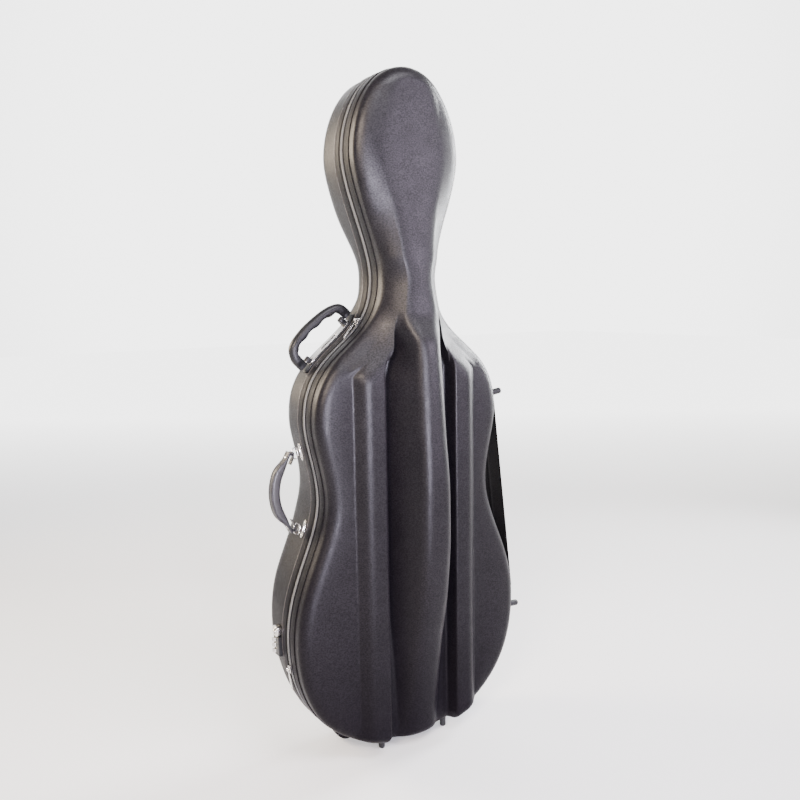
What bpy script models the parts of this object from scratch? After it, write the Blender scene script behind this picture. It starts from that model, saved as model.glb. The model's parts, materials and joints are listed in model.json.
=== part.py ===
"""A hard cello case, standing on its tail with its lid to the front.

Metres, +Z up, the lid towards -Y, +X to the right as the lid is seen. The parting plane of the two
shells is y = 0 while the pieces are made. At the end the whole case is moved, so that the origin is the
middle of the bottom of its bounding box.
"""

import math

import bmesh
import bpy
import numpy as np
from mathutils import Matrix, Vector

# Outline at the parting plane: half widths, and heights as shares of the length
CASE_LENGTH = 1.35
TAIL_LIFT = 0.014
LOWER_HALF, LOWER_Z = 0.2605, 0.19407 * CASE_LENGTH
WAIST_HALF, WAIST_Z = 0.1885, 0.39556 * CASE_LENGTH
UPPER_HALF, UPPER_Z = 0.2122, 0.50667 * CASE_LENGTH
NECK_HALF, NECK_Z = 0.0604, 0.70963 * CASE_LENGTH
HEAD_HALF, HEAD_Z = 0.1178, 0.88000 * CASE_LENGTH

# Heights of the same places on the plan that the tables and the hardware below are set out on
PLAN_HEIGHTS = (0.0, 0.262, 0.534, 0.684, 0.958, 1.188, 1.35)


def along(z):
    """The height on this case of a place at a height on the plan."""
    return float(np.interp(z, PLAN_HEIGHTS, (0.0, LOWER_Z, WAIST_Z, UPPER_Z, NECK_Z, HEAD_Z, CASE_LENGTH)))


# Roundness of the outline below and above each of these places, as shares of the way to the next
LOWER_ROUND = (0.60, 0.42)
WAIST_ROUND = (0.31, 0.35)
UPPER_ROUND = (0.27, 0.565)
NECK_ROUND = (0.53, 0.265)
HEAD_ROUND = (0.29, 0.415)
TAIL_ROUND, TOP_ROUND = 0.68, 0.66

# Lid section
LID_DEPTH = 0.064
LID_CORNER = 0.024
TROUGH_DEPTH = 0.055
RIB_DEPTH = 0.086
RIB_FOOT_IN, RIB_TOP_IN = 0.076, 0.081
RIB_TOP_OUT, RIB_FOOT_OUT = 0.120, 0.141
RIDGE_FOOT = 0.066
RIDGE_FOOT_TAIL = 0.048
RIDGE_CROWN = 0.001
LINE_LIMITS = (0.30, 0.42, 0.50, 0.75, 0.88)
SHOULDER_SLOPE = 0.6
SHOULDER_START, SHOULDER_END = along(0.815), along(0.89)

# Ridge of the lid: height, half width of its flat top, depth from the parting plane
RIDGE = (
    (0.03, 0.030, 0.066), (0.12, 0.0265, 0.082), (0.23, 0.026, 0.109), (0.34, 0.027, 0.133),
    (0.45, 0.029, 0.142), (0.54, 0.028, 0.143), (0.66, 0.024, 0.135), (0.78, 0.022, 0.126),
    (0.83, 0.0245, 0.119), (0.89, 0.032, 0.0935), (0.95, 0.0255, 0.0875), (1.02, 0.045, 0.081),
    (1.09, 0.070, 0.074), (1.15, 0.086, 0.070), (1.30, 0.090, 0.067),
)

# Base section: height, depth from the parting plane
BASE_DEPTH = (
    (0.0, 0.081), (0.14, 0.081), (0.26, 0.108), (0.37, 0.1275), (0.47, 0.1275), (0.62, 0.100),
    (0.74, 0.105), (0.80, 0.105), (0.86, 0.094), (0.92, 0.076), (0.98, 0.076), (1.10, 0.104),
    (1.28, 0.107), (1.35, 0.098),
)
BASE_CORNER = 0.040
SKID_HEIGHT = 0.006
SKID_MIDDLE, SKID_HALF, SKID_SLOPE = 0.100, 0.010, 0.005
SKID_START, SKID_END = along(0.15), along(0.74)
SKID_RUNOUT = 0.04

# Walls and joints between pieces
SHELL_WALL = 0.005
LINING_WALL = 0.006
LINING_GAP = 0.0009
LINING_EASE = 0.0015
SEAT_GAP = 0.0003
EDGE_GAP = 0.0003

# Zip, its tapes and the bindings beside it
TAPE_HALF = 0.0098
TAPE_THICK = 0.0010
CHAIN_HALF = 0.0040
CHAIN_THICK = 0.0021
TAPE_STOP = 0.003
BINDING_START, BINDING_END = 0.0102, 0.028
BINDING_THICK = 0.0018

# Fabric hinge on the right
HINGE_BOTTOM_Z, HINGE_TOP_Z = along(0.277), along(0.697)
HINGE_WIDTH = 0.042
HINGE_THICK = 0.0022
HINGE_SLIT = 0.0025

# Rubber studs and the feet of the base
STUD_RADIUS = 0.007
SIDE_STUD_LENGTH = 0.026
SIDE_STUD_Y = 0.0355
SIDE_STUD_HEIGHTS = (along(0.232), along(0.713))
TAIL_STUD_X, TAIL_STUD_Y = 0.077, 0.0358
FOOT_INNER_X, FOOT_OUTER_X = 0.072, 0.172
FOOT_START_Y = 0.029
FOOT_EDGE = 0.003

# Rubber grip on the left shoulder
GRIP_LOW_Z, GRIP_HIGH_Z = along(0.781), along(0.879)
GRIP_Y = 0.043
GRIP_RADIUS = 0.0100
GRIP_END_RADIUS = 0.0066
GRIP_AXIS_OUT = 0.013
GRIP_PAD_HALF = 0.0115
GRIP_PAD_THICK = 0.004
GRIP_PLATE_HALF = 0.0085
GRIP_PLATE_THICK = 0.0015
GRIP_LUG_LENGTH = 0.010
GRIP_LUG_RADIUS = 0.0065
GRIP_PIN_RADIUS = 0.0028
GRIP_PIN_STEP = 0.0006
GRIP_DIPS = 5
GRIP_DIP_DEPTH = 0.0018
GRIP_RISE = 0.042
GRIP_END = 0.0038

# Leather carrying handle at the waist
STRAP_LOW_Z, STRAP_HIGH_Z = along(0.466), along(0.622)
STRAP_Y = 0.040
STRAP_RISE = 0.060
STRAP_HALF_WIDTH = 0.008
STRAP_HALF_THICK = 0.0095
STRAP_END_THICK = 0.0032
STRAP_LAP = 0.004
RING_WIRE = 0.0013
RING_LENGTH = 0.024
RING_REACH = 0.013
EYE_RADIUS = 0.0032
EYE_LENGTH = 0.011
EYE_OUT = 0.0080
PLATE_LENGTH, PLATE_WIDTH, PLATE_THICK = 0.036, 0.012, 0.0016
RIVET_RADIUS, RIVET_THICK = 0.0030, 0.0012

# Combination lock below the widest place of the left side
LOCK_Z = along(0.240)
LOCK_Y = 0.0415
LOCK_LENGTH, LOCK_WIDTH, LOCK_THICK = 0.040, 0.024, 0.0100
LOCK_CAP_LENGTH, LOCK_CAP_THICK = 0.021, 0.0125
LOCK_BUTTON_RADIUS, LOCK_BUTTON_RISE = 0.0045, 0.0020
LOCK_TRAVEL = 0.0016
DIAL_COUNT = 3
DIAL_RADIUS, DIAL_THICK, DIAL_PITCH = 0.0066, 0.0080, 0.0115
DIAL_OUT = 0.0085
DIAL_GAP = 0.0006

# Zip sliders and their pulls
SLIDER_HEIGHTS = (along(0.206), along(0.870))
SLIDER_LENGTH, SLIDER_WIDTH, SLIDER_THICK = 0.016, 0.010, 0.0030
SLIDER_EAR, SLIDER_EAR_THICK = 0.0046, 0.0014
PULL_PIN_RADIUS = 0.0008
PULL_LENGTH, PULL_WIDTH, PULL_THICK = 0.044, 0.0072, 0.0016
PULL_HOLE = 0.0018
PULL_EYE = 0.0019

# Pieces inside
PAD_THICK, PAD_DEPTH, PAD_FRONT = 0.020, 0.060, 0.004
LOWER_PAD, UPPER_PAD = (along(0.20), along(0.34)), (along(0.64), along(0.72))
TAIL_PAD_HALF = 0.09
CRADLE_Z, CRADLE_LENGTH = along(0.935), 0.040
CRADLE_RISE = 0.016
CRADLE_SLOT_HALF, CRADLE_SLOT_DEPTH = 0.020, 0.050
NECK_STRAP_WIDTH, NECK_STRAP_THICK = 0.024, 0.002
BOW_X, BOW_CLIP_Z, BOW_POCKET_Z = 0.125, along(0.235), along(0.900)
BOW_POCKET_X = 0.036
CLIP_RADIUS, CLIP_RISE = 0.012, 0.016
CLIP_BAR_LENGTH, CLIP_BAR_WIDTH, CLIP_BAR_THICK = 0.050, 0.014, 0.006
POCKET_LENGTH, POCKET_RADIUS, POCKET_WALL = 0.050, 0.012, 0.002
BOX_BOTTOM_Z, BOX_TOP_Z = along(1.150), along(1.226)
BOX_DEPTH, BOX_WALL = 0.060, 0.003
BOX_LID_THICK = 0.004

# How finely curved pieces are cut
ARC_STEPS = 3
STUD_SIDES = 16
CURVE_POINTS = 240

# Heights at which the shells have rows of points, from the tail's corner to the head's corner
ROW_HEIGHTS = tuple(along(z) for z in (
    0.075, 0.110, 0.150, 0.2165, 0.285, 0.330, 0.375, 0.430, 0.495, 0.545, 0.595, 0.645, 0.690, 0.740,
    0.780, 0.812, 0.832, 0.855, 0.885, 0.920, 0.965, 1.015, 1.068, 1.122, 1.178, 1.230, 1.272, 1.305,
))
END_FADE = 0.16


def clear_scene():
    """Remove every object, so that the file can be run again."""
    for item in list(bpy.data.objects):
        bpy.data.objects.remove(item, do_unlink=True)


def make_collection(name):
    group = bpy.data.collections.new(name)
    bpy.context.scene.collection.children.link(group)
    return group


def make_material(name, colour, roughness, metallic=0.0):
    material = bpy.data.materials.new(name)
    material.use_nodes = True
    shader = material.node_tree.nodes["Principled BSDF"]
    shader.inputs["Base Color"].default_value = (*colour, 1.0)
    shader.inputs["Roughness"].default_value = roughness
    shader.inputs["Metallic"].default_value = metallic
    return material


def make_empty(name, matrix):
    """An empty that carries the pieces of one moving body; its Z or X axis is the joint's axis."""
    empty = bpy.data.objects.new(name, None)
    empty.empty_display_size = 0.03
    empty.matrix_world = matrix
    PARTS.objects.link(empty)
    bpy.context.view_layer.update()
    return empty


def attach(item, parent):
    """Parent an object without moving it."""
    bpy.context.view_layer.update()
    item.parent = parent
    item.matrix_parent_inverse = parent.matrix_world.inverted()


def make_object(name, mesh, material, matrix=None, smooth=True):
    item = bpy.data.objects.new(name, mesh)
    item.data.materials.clear()
    item.data.materials.append(material)
    if matrix is not None:
        item.matrix_world = matrix
    PARTS.objects.link(item)
    if smooth:
        item.data.shade_smooth()
        item.data.set_sharp_from_angle(angle=math.radians(35))
    bpy.context.view_layer.update()
    return item


def mesh_from(name, points, faces):
    """A closed mesh from points and faces, with its faces turned outwards."""
    mesh = bpy.data.meshes.new(name)
    mesh.from_pydata([tuple(float(c) for c in point) for point in points], [], faces)
    work = bmesh.new()
    work.from_mesh(mesh)
    bmesh.ops.recalc_face_normals(work, faces=work.faces)
    work.to_mesh(mesh)
    work.free()
    return mesh


def box_mesh(name, size, middle=(0, 0, 0), bevel=0.0, segments=1):
    work = bmesh.new()
    bmesh.ops.create_cube(work, size=1.0)
    bmesh.ops.scale(work, vec=size, verts=work.verts)
    bmesh.ops.translate(work, vec=middle, verts=work.verts)
    if bevel:
        bmesh.ops.bevel(work, geom=work.edges[:], offset=bevel, segments=segments, affect="EDGES",
                        profile=0.5)
    mesh = bpy.data.meshes.new(name)
    work.to_mesh(mesh)
    work.free()
    return mesh


def cylinder_mesh(name, radius, length, axis="Z", middle=(0, 0, 0), sides=STUD_SIDES, bevel=0.0):
    work = bmesh.new()
    bmesh.ops.create_cone(work, cap_ends=True, segments=sides, radius1=radius, radius2=radius, depth=length)
    if bevel:
        rims = [edge for edge in work.edges if abs(edge.verts[0].co.z - edge.verts[1].co.z) < length / 2]
        bmesh.ops.bevel(work, geom=rims, offset=bevel, segments=1, affect="EDGES", profile=0.5)
    turns = {"X": Matrix.Rotation(math.pi / 2, 3, "Y"), "Y": Matrix.Rotation(-math.pi / 2, 3, "X")}
    if axis in turns:
        bmesh.ops.rotate(work, matrix=turns[axis], verts=work.verts)
    bmesh.ops.translate(work, vec=middle, verts=work.verts)
    mesh = bpy.data.meshes.new(name)
    work.to_mesh(mesh)
    work.free()
    return mesh


def cut_or_join(item, mesh, operation):
    """Apply a Boolean with a mesh that lies in the item's own frame."""
    cutter = bpy.data.objects.new(item.name + "_cutter", mesh)
    cutter.matrix_world = item.matrix_world
    cutter.hide_render = True
    cutter.display_type = "WIRE"
    CUTTERS.objects.link(cutter)
    change = item.modifiers.new(operation.title(), "BOOLEAN")
    change.operation = operation
    change.solver = "EXACT"
    change.object = cutter
    bpy.context.view_layer.update()
    result = bpy.data.meshes.new_from_object(item.evaluated_get(bpy.context.evaluated_depsgraph_get()))
    work = bmesh.new()
    work.from_mesh(result)
    bmesh.ops.triangulate(work, faces=[face for face in work.faces if len(face.verts) > 4])
    work.to_mesh(result)
    work.free()
    item.modifiers.clear()
    item.data = result
    bpy.data.objects.remove(cutter, do_unlink=True)


def monotone(stations):
    """A smooth curve through stations that never overshoots them; returns a function of numpy arrays."""
    xs = np.array([station[0] for station in stations], float)
    ys = np.array([station[1] for station in stations], float)
    steps = np.diff(xs)
    slopes = np.diff(ys) / steps
    tangents = np.zeros_like(xs)
    inner = slopes[:-1] * slopes[1:] > 0
    weights = 1.0 / np.where(inner, slopes[:-1], 1.0) + 1.0 / np.where(inner, slopes[1:], 1.0)
    tangents[1:-1] = np.where(inner, 2.0 / np.where(weights == 0, 1.0, weights), 0.0)

    def read(x):
        x = np.clip(x, xs[0], xs[-1])
        i = np.clip(np.searchsorted(xs, x) - 1, 0, len(steps) - 1)
        t = (x - xs[i]) / steps[i]
        rise = (1 + 2 * t) * (1 - t) ** 2 * ys[i] + t * t * (3 - 2 * t) * ys[i + 1]
        return rise + steps[i] * (t * (1 - t) ** 2 * tangents[i] - t * t * (1 - t) * tangents[i + 1])

    return read


def ease(value, start, end):
    """0 before start, 1 after end, and smooth between them."""
    t = np.clip((value - start) / (end - start), 0.0, 1.0)
    return t * t * (3 - 2 * t)


class Rim:
    """The outline as a closed curve in x and z, read by its share from the tail's middle, up the right."""

    def __init__(self):
        bouts = (
            (LOWER_HALF, LOWER_Z, LOWER_ROUND), (WAIST_HALF, WAIST_Z, WAIST_ROUND),
            (UPPER_HALF, UPPER_Z, UPPER_ROUND), (NECK_HALF, NECK_Z, NECK_ROUND),
            (HEAD_HALF, HEAD_Z, HEAD_ROUND),
        )
        ends = [(0.0, TAIL_LIFT)] + [(half, z) for half, z, _ in bouts] + [(0.0, CASE_LENGTH)]
        below = [0.0] + [share[0] for _, _, share in bouts] + [0.0]
        above = [0.0] + [share[1] for _, _, share in bouts] + [0.0]
        half = []
        for i in range(len(ends) - 1):
            start, end = np.array(ends[i]), np.array(ends[i + 1])
            rise = end[1] - start[1]
            first = start + ((TAIL_ROUND * LOWER_HALF, 0) if i == 0 else (0, above[i] * rise))
            second = end + ((TOP_ROUND * HEAD_HALF, 0) if i == len(ends) - 2 else (0, -below[i + 1] * rise))
            t = np.linspace(0, 1, CURVE_POINTS, endpoint=False)[:, None]
            half.append((1 - t) ** 3 * start + 3 * t * (1 - t) ** 2 * first
                        + 3 * t * t * (1 - t) * second + t ** 3 * end)
        right = np.concatenate(half + [np.array([ends[-1]])])
        left = right[-2:0:-1] * (-1, 1)
        loop = np.concatenate([right, left, right[:1]])
        lengths = np.concatenate([[0], np.cumsum(np.hypot(*np.diff(loop, axis=0).T))])
        self.share = lengths / lengths[-1]
        self.length = lengths[-1]
        self.points = loop
        along = np.gradient(loop[:-1], axis=0)
        along[0] = loop[1] - loop[-2]
        along[-1] = loop[0] - loop[-3]
        normals = np.stack([along[:, 1], -along[:, 0]], 1)
        normals /= np.linalg.norm(normals, axis=1)[:, None]
        self.normals = np.concatenate([normals, normals[:1]])

    def normal(self, share):
        share = np.asarray(share, float) % 1.0
        n = np.stack([np.interp(share, self.share, self.normals[:, i]) for i in range(2)], -1)
        return n / np.linalg.norm(n, axis=-1, keepdims=True)

    def point(self, share, out=0.0):
        """The place at this share of the outline, moved outwards."""
        share = np.asarray(share, float) % 1.0
        p = np.stack([np.interp(share, self.share, self.points[:, i]) for i in range(2)], -1)
        return p + np.asarray(out, float)[..., None] * self.normal(share)

    def right(self, z):
        """Share at which the right side reaches a height."""
        half = len(self.share) // 2 + 1
        return float(np.interp(z, self.points[:half, 1], self.share[:half]))

    def left(self, z):
        return 1.0 - self.right(z)

    def end(self, x, out, top):
        """Share at which the tail's or the head's arc, moved outwards, crosses x."""
        reach = self.right(ROW_HEIGHTS[-1] if top else ROW_HEIGHTS[0])
        shares = np.linspace(reach, 1 - reach, CURVE_POINTS) if top else np.linspace(-reach, reach, CURVE_POINTS)
        xs = self.point(shares, out)[:, 0]
        return float(np.interp(x, xs[::-1], shares[::-1])) if top else float(np.interp(x, xs, shares))

    def distance(self, x, z):
        return float(np.hypot(self.points[:, 0] - x, self.points[:, 1] - z).min())


RIDGE_HALF_AT = monotone([(along(z), half) for z, half, _ in RIDGE])
RIDGE_DEPTH_AT = monotone([(along(z), depth) for z, _, depth in RIDGE])
BASE_DEPTH_AT = monotone([(along(z), depth) for z, depth in BASE_DEPTH])
RIDGE_FOOT_AT = monotone([(along(0.05), RIDGE_FOOT_TAIL), (along(0.34), RIDGE_FOOT), (CASE_LENGTH, RIDGE_FOOT)])


def lid_columns(z, edge):
    """Half widths of the lid's feature lines at a height, from the middle to the edge of its face."""
    half = min(float(RIDGE_HALF_AT(z)), 0.88 * edge)
    room = edge - half
    lines = (float(RIDGE_FOOT_AT(z)), RIB_FOOT_IN, RIB_TOP_IN, RIB_TOP_OUT, RIB_FOOT_OUT)
    body = [min(line, half + share * room) for line, share in zip(lines, LINE_LIMITS)]
    neck = [half + room * step / 6 for step in range(1, 6)]
    share = float(ease(z, SHOULDER_START, SHOULDER_END))
    mixed = [(1 - share) * a + share * b for a, b in zip(body, neck)]
    return [0.0, half / 2, half] + mixed + [edge]


def lid_heights(rim, z, columns):
    """Depths of the lid's face at those lines."""
    half, edge = columns[2], columns[-1]
    top = float(RIDGE_DEPTH_AT(z))
    body = [TROUGH_DEPTH, TROUGH_DEPTH, RIB_DEPTH, RIB_DEPTH, LID_DEPTH]
    if z > UPPER_Z:
        for i in (2, 3):
            room = rim.distance(columns[i + 3], z) - LID_CORNER
            body[i] = min(body[i], LID_DEPTH + SHOULDER_SLOPE * room)
    neck = [top + (LID_DEPTH - top) * (x - half) / (edge - half) for x in columns[3:-1]]
    share = float(ease(z, SHOULDER_START, SHOULDER_END))
    mixed = [(1 - share) * a + share * b for a, b in zip(body, neck)]
    return [top + RIDGE_CROWN, top + 0.75 * RIDGE_CROWN, top] + mixed + [LID_DEPTH]


def lid_lining_columns(z, edge):
    columns = lid_columns(z, edge)
    return columns[:4] + columns[-1:]


def lid_lining_heights(rim, z, columns):
    full = lid_columns(z, columns[-1])
    heights = lid_heights(rim, z, full)
    low = min(heights[3:])
    return [height - LINING_EASE for height in heights[:3]] + [low, low]


def skid_rise(z):
    return SKID_HEIGHT * float(ease(z, SKID_START - SKID_RUNOUT, SKID_START)
                               * (1 - ease(z, SKID_END, SKID_END + SKID_RUNOUT)))


def base_columns(z, edge):
    inner, outer = SKID_MIDDLE - SKID_HALF, SKID_MIDDLE + SKID_HALF
    return [0.0, 0.32 * edge, min(inner - SKID_SLOPE, 0.60 * edge), min(inner, 0.66 * edge),
            min(outer, 0.80 * edge), min(outer + SKID_SLOPE, 0.86 * edge), edge]


def base_heights(rim, z, columns):
    depth, rise = float(BASE_DEPTH_AT(z)), skid_rise(z)
    return [depth, depth, depth, depth + rise, depth + rise, depth, depth]


def base_lining_columns(z, edge):
    columns = base_columns(z, edge)
    return columns[:3] + columns[-1:]


def base_lining_heights(rim, z, columns):
    return [float(BASE_DEPTH_AT(z))] * 4


def lid_wall_height(z):
    return LID_DEPTH - LID_CORNER


def base_wall_height(z):
    return float(BASE_DEPTH_AT(z)) - BASE_CORNER


class Half:
    """One half of the case as a grid of points: its feature lines, and the shares of its edge loop."""

    def __init__(self, rim, side, corner, columns, heights, wall_height):
        self.rim, self.side, self.corner, self.wall_height = rim, side, corner, wall_height
        shares = [rim.right(z) for z in ROW_HEIGHTS]
        rows = [rim.point(share, -corner) for share in shares]
        first, last = rows[0][1], rows[-1][1]
        self.grid, self.edge = [], {}
        for j, (edge, z) in enumerate(rows):
            halves = columns(z, edge)
            xs = [-x for x in halves[:0:-1]] + halves
            depths = heights(rim, z, halves)
            depths = depths[:0:-1] + depths
            low = 1.0 - float(ease(z, first, first + END_FADE))
            high = float(ease(z, last - END_FADE, last))
            row = []
            for k, (x, depth) in enumerate(zip(xs, depths)):
                down = rim.point(rim.end(x, -corner, False), -corner)[1] - first
                up = rim.point(rim.end(x, -corner, True), -corner)[1] - last
                row.append((x, z + low * down + high * up, depth))
                if j == 0:
                    self.edge[j, k] = rim.end(x, -corner, False) % 1.0
                if j == len(rows) - 1:
                    self.edge[j, k] = rim.end(x, -corner, True)
            width = len(xs) - 1
            self.edge[j, width] = shares[j]
            self.edge[j, 0] = 1.0 - shares[j]
            self.grid.append(row)
        top = len(rows) - 1
        self.loop = ([(0, k) for k in range(width)] + [(j, width) for j in range(top)]
                     + [(top, k) for k in range(width, 0, -1)] + [(j, 0) for j in range(top, 0, -1)])
        self.shares = [self.edge[place] for place in self.loop]

    def place(self, share, out=0.0):
        """The place on the half's own facets at this share of the outline, moved outwards."""
        knots = sorted(self.shares)
        share = share % 1.0
        after = next((knot for knot in knots if knot > share), knots[0] + 1.0)
        before = max((knot for knot in knots if knot <= share), default=knots[-1] - 1.0)
        part = (share - before) / (after - before)
        a, b = self.rim.point(before, out), self.rim.point(after, out)
        return a + (b - a) * part

    def frame(self, share, y):
        """A frame on the facet there: Z outwards, Y to the back, X along the wall to a smaller share."""
        knots = sorted(self.shares)
        after = next(knot for knot in knots if knot > share)
        before = max(knot for knot in knots if knot <= share)
        a, b = self.rim.point(before), self.rim.point(after)
        x, z = self.place(share)
        tx, tz = (a - b) / np.linalg.norm(a - b)
        return Matrix(((tx, 0, -tz, x), (0, 1, 0, y), (tz, 0, tx, z), (0, 0, 0, 1)))

    def span(self, start, end):
        """The shares from start to end, with every corner of the half between them."""
        knots = self.shares + [knot - 1.0 for knot in self.shares]
        return [start] + sorted(knot for knot in knots if start + 1e-4 < knot < end - 1e-4) + [end]

    def layer(self, inset):
        """Points and rings of one skin, moved in from the outside: the grid, then rings to the edge."""
        points = [(x, self.side * (depth - inset), z) for row in self.grid for x, z, depth in row]
        rings = []
        for step in range(1, ARC_STEPS + 2):
            ring = []
            for (j, k), share in zip(self.loop, self.shares):
                _, z, depth = self.grid[j][k]
                low = self.wall_height(z)
                turn = math.pi / 2 * min(step, ARC_STEPS) / ARC_STEPS
                out = (self.corner - inset) * math.sin(turn) - self.corner
                rise = low + (depth - inset - low) * math.cos(turn) if step <= ARC_STEPS else EDGE_GAP
                x, z_out = self.rim.point(share, out)
                ring.append((x, self.side * rise, z_out))
            rings.append(ring)
        return points, rings

    def skin(self, inset, offset):
        """Faces of one skin, numbered from offset; also the numbers of its last ring."""
        points, rings = self.layer(inset)
        width, count = len(self.grid[0]), len(self.loop)
        faces = []
        for j in range(len(self.grid) - 1):
            for k in range(width - 1):
                a = offset + j * width + k
                b, c, d = a + 1, a + width + 1, a + width
                faces += [(a, b, c), (a, c, d)] if 2 * k < width - 1 else [(b, c, d), (b, d, a)]
        last = [offset + j * width + k for j, k in self.loop]
        for ring in rings:
            start = offset + len(points)
            points = points + ring
            here = [start + i for i in range(count)]
            for i in range(count):
                after = (i + 1) % count
                faces += [(last[i], last[after], here[after]), (last[i], here[after], here[i])]
            last = here
        return points, faces, last

    def solid(self, name, inset, thick, material):
        """A closed wall between two skins, joined along the parting plane."""
        outer, outer_faces, outer_edge = self.skin(inset, 0)
        inner, inner_faces, inner_edge = self.skin(inset + thick, len(outer))
        count = len(outer_edge)
        rim_faces = [(outer_edge[i], outer_edge[(i + 1) % count], inner_edge[(i + 1) % count], inner_edge[i])
                     for i in range(count)]
        faces = outer_faces + [face[::-1] for face in inner_faces] + rim_faces
        return make_object(name, mesh_from(name, outer + inner, faces), material)

    def band(self, name, profile, material):
        """A strip right round the outside of the wall."""
        return swept(name, self, self.shares, lambda share: profile, material, True)


def swept(name, half, shares, profile_at, material, closed=False):
    """A profile of (out, y) points carried along the outline of one half."""
    points, faces = [], []
    profiles = [profile_at(share) for share in shares]
    count = len(profiles[0])
    for share, profile in zip(shares, profiles):
        for out, y in profile:
            x, z = half.place(share, out)
            points.append((x, half.side * y, z))
    steps = len(shares) if closed else len(shares) - 1
    for i in range(steps):
        a, b = i * count, (i + 1) % len(shares) * count
        faces += [(a + k, a + (k + 1) % count, b + (k + 1) % count, b + k) for k in range(count)]
    if not closed:
        last = (len(shares) - 1) * count
        faces += [tuple(range(count)), tuple(range(last, last + count))[::-1]]
    return make_object(name, mesh_from(name, points, faces), material)


def loft(name, stations, material, matrix=None, sides=12):
    """A tube of ovals: each station is its middle, its side and its up vector, both with their length."""
    points, faces = [], []
    for middle, side, up in stations:
        for i in range(sides):
            turn = 2 * math.pi * i / sides
            points.append(Vector(middle) + Vector(side) * math.cos(turn) + Vector(up) * math.sin(turn))
    for j in range(len(stations) - 1):
        a, b = j * sides, (j + 1) * sides
        faces += [(a + i, a + (i + 1) % sides, b + (i + 1) % sides, b + i) for i in range(sides)]
    last = (len(stations) - 1) * sides
    faces += [tuple(range(sides)), tuple(range(last, last + sides))[::-1]]
    return make_object(name, mesh_from(name, points, faces), material, matrix)


def smooth_path(points, steps):
    """Points along a Catmull-Rom curve."""
    p = [Vector(point) for point in points]
    p = [2 * p[0] - p[1]] + p + [2 * p[-1] - p[-2]]
    path = []
    for i in range(1, len(p) - 2):
        for step in range(steps):
            t = step / steps
            path.append(0.5 * (2 * p[i] + (p[i + 1] - p[i - 1]) * t
                               + (2 * p[i - 1] - 5 * p[i] + 4 * p[i + 1] - p[i + 2]) * t * t
                               + (3 * p[i] - p[i - 1] - 3 * p[i + 1] + p[i + 2]) * t ** 3))
    path.append(p[-2])
    return path


def build_shells(rim, base, lid, materials):
    """Both shells, their linings, the bindings at their edges and the two halves of the zip."""
    base.solid("base_shell", 0.0, SHELL_WALL, materials["shell"])
    lid.solid("lid_shell", 0.0, SHELL_WALL, materials["shell"])
    inner_base = Half(rim, 1, BASE_CORNER, base_lining_columns, base_lining_heights, base_wall_height)
    inner_lid = Half(rim, -1, LID_CORNER, lid_lining_columns, lid_lining_heights, lid_wall_height)
    inner_base.solid("base_lining", SHELL_WALL + LINING_GAP, LINING_WALL, materials["lining"])
    inner_lid.solid("lid_lining", SHELL_WALL + LINING_GAP, LINING_WALL, materials["lining"])
    seat, thick = SEAT_GAP, SEAT_GAP + BINDING_THICK
    binding = [(seat, BINDING_START), (thick, BINDING_START), (thick, BINDING_END), (seat, BINDING_END)]
    tape = [(seat, EDGE_GAP), (seat + CHAIN_THICK, EDGE_GAP), (seat + CHAIN_THICK, CHAIN_HALF),
            (seat + TAPE_THICK, CHAIN_HALF), (seat + TAPE_THICK, TAPE_HALF), (seat, TAPE_HALF)]
    low, high = rim.right(HINGE_BOTTOM_Z - TAPE_STOP), rim.right(HINGE_TOP_Z + TAPE_STOP)
    for half, word in ((base, "base"), (lid, "lid")):
        half.band(word + "_binding", binding, materials["binding"])
        shares = half.span(high - 1.0, low)
        swept(word + "_zip_tape", half, shares, lambda share: tape, materials["zip"])
    return inner_base


def hinge_line(rim, half):
    """The straight line that touches both bouts on the right, outside the bindings, and its slope."""
    out = SEAT_GAP + BINDING_THICK
    spots = [rim.point(share, out) for share in half.shares if rim.normal(share)[0] > 0]
    lower = [spot for spot in spots if spot[1] < WAIST_Z]
    upper = [spot for spot in spots if spot[1] >= WAIST_Z]
    slope = 0.0
    for _ in range(8):
        low = max(lower, key=lambda spot: spot[0] - slope * spot[1])
        high = max(upper, key=lambda spot: spot[0] - slope * spot[1])
        slope = (high[0] - low[0]) / (high[1] - low[1])
    lean = math.hypot(1.0, slope)
    shift = (SEAT_GAP + HINGE_THICK / 2) * lean
    return low[0] + shift - slope * low[1], slope


def build_hinge(rim, lid, lid_axis, materials):
    """The fabric panel that carries the lid: one leaf on each side of the slit."""
    bend, slope = hinge_line(rim, lid)
    matrix = lid_axis.matrix_world
    middle_z = (HINGE_BOTTOM_Z + HINGE_TOP_Z) / 2
    centre = Vector((bend + slope * middle_z, 0, middle_z))
    height = (HINGE_TOP_Z - HINGE_BOTTOM_Z) * math.hypot(1.0, slope)
    for word, side in (("base", 1), ("lid", -1)):
        width = HINGE_WIDTH - HINGE_SLIT
        mesh = box_mesh(word + "_hinge_panel", (HINGE_THICK, width, height), bevel=HINGE_THICK / 5)
        place = matrix.copy()
        place.translation = centre + Vector((0, side * (HINGE_SLIT + width / 2), 0))
        panel = make_object(word + "_hinge_panel", mesh, materials["binding"], place)
        if side < 0:
            attach(panel, lid_axis)


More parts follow.
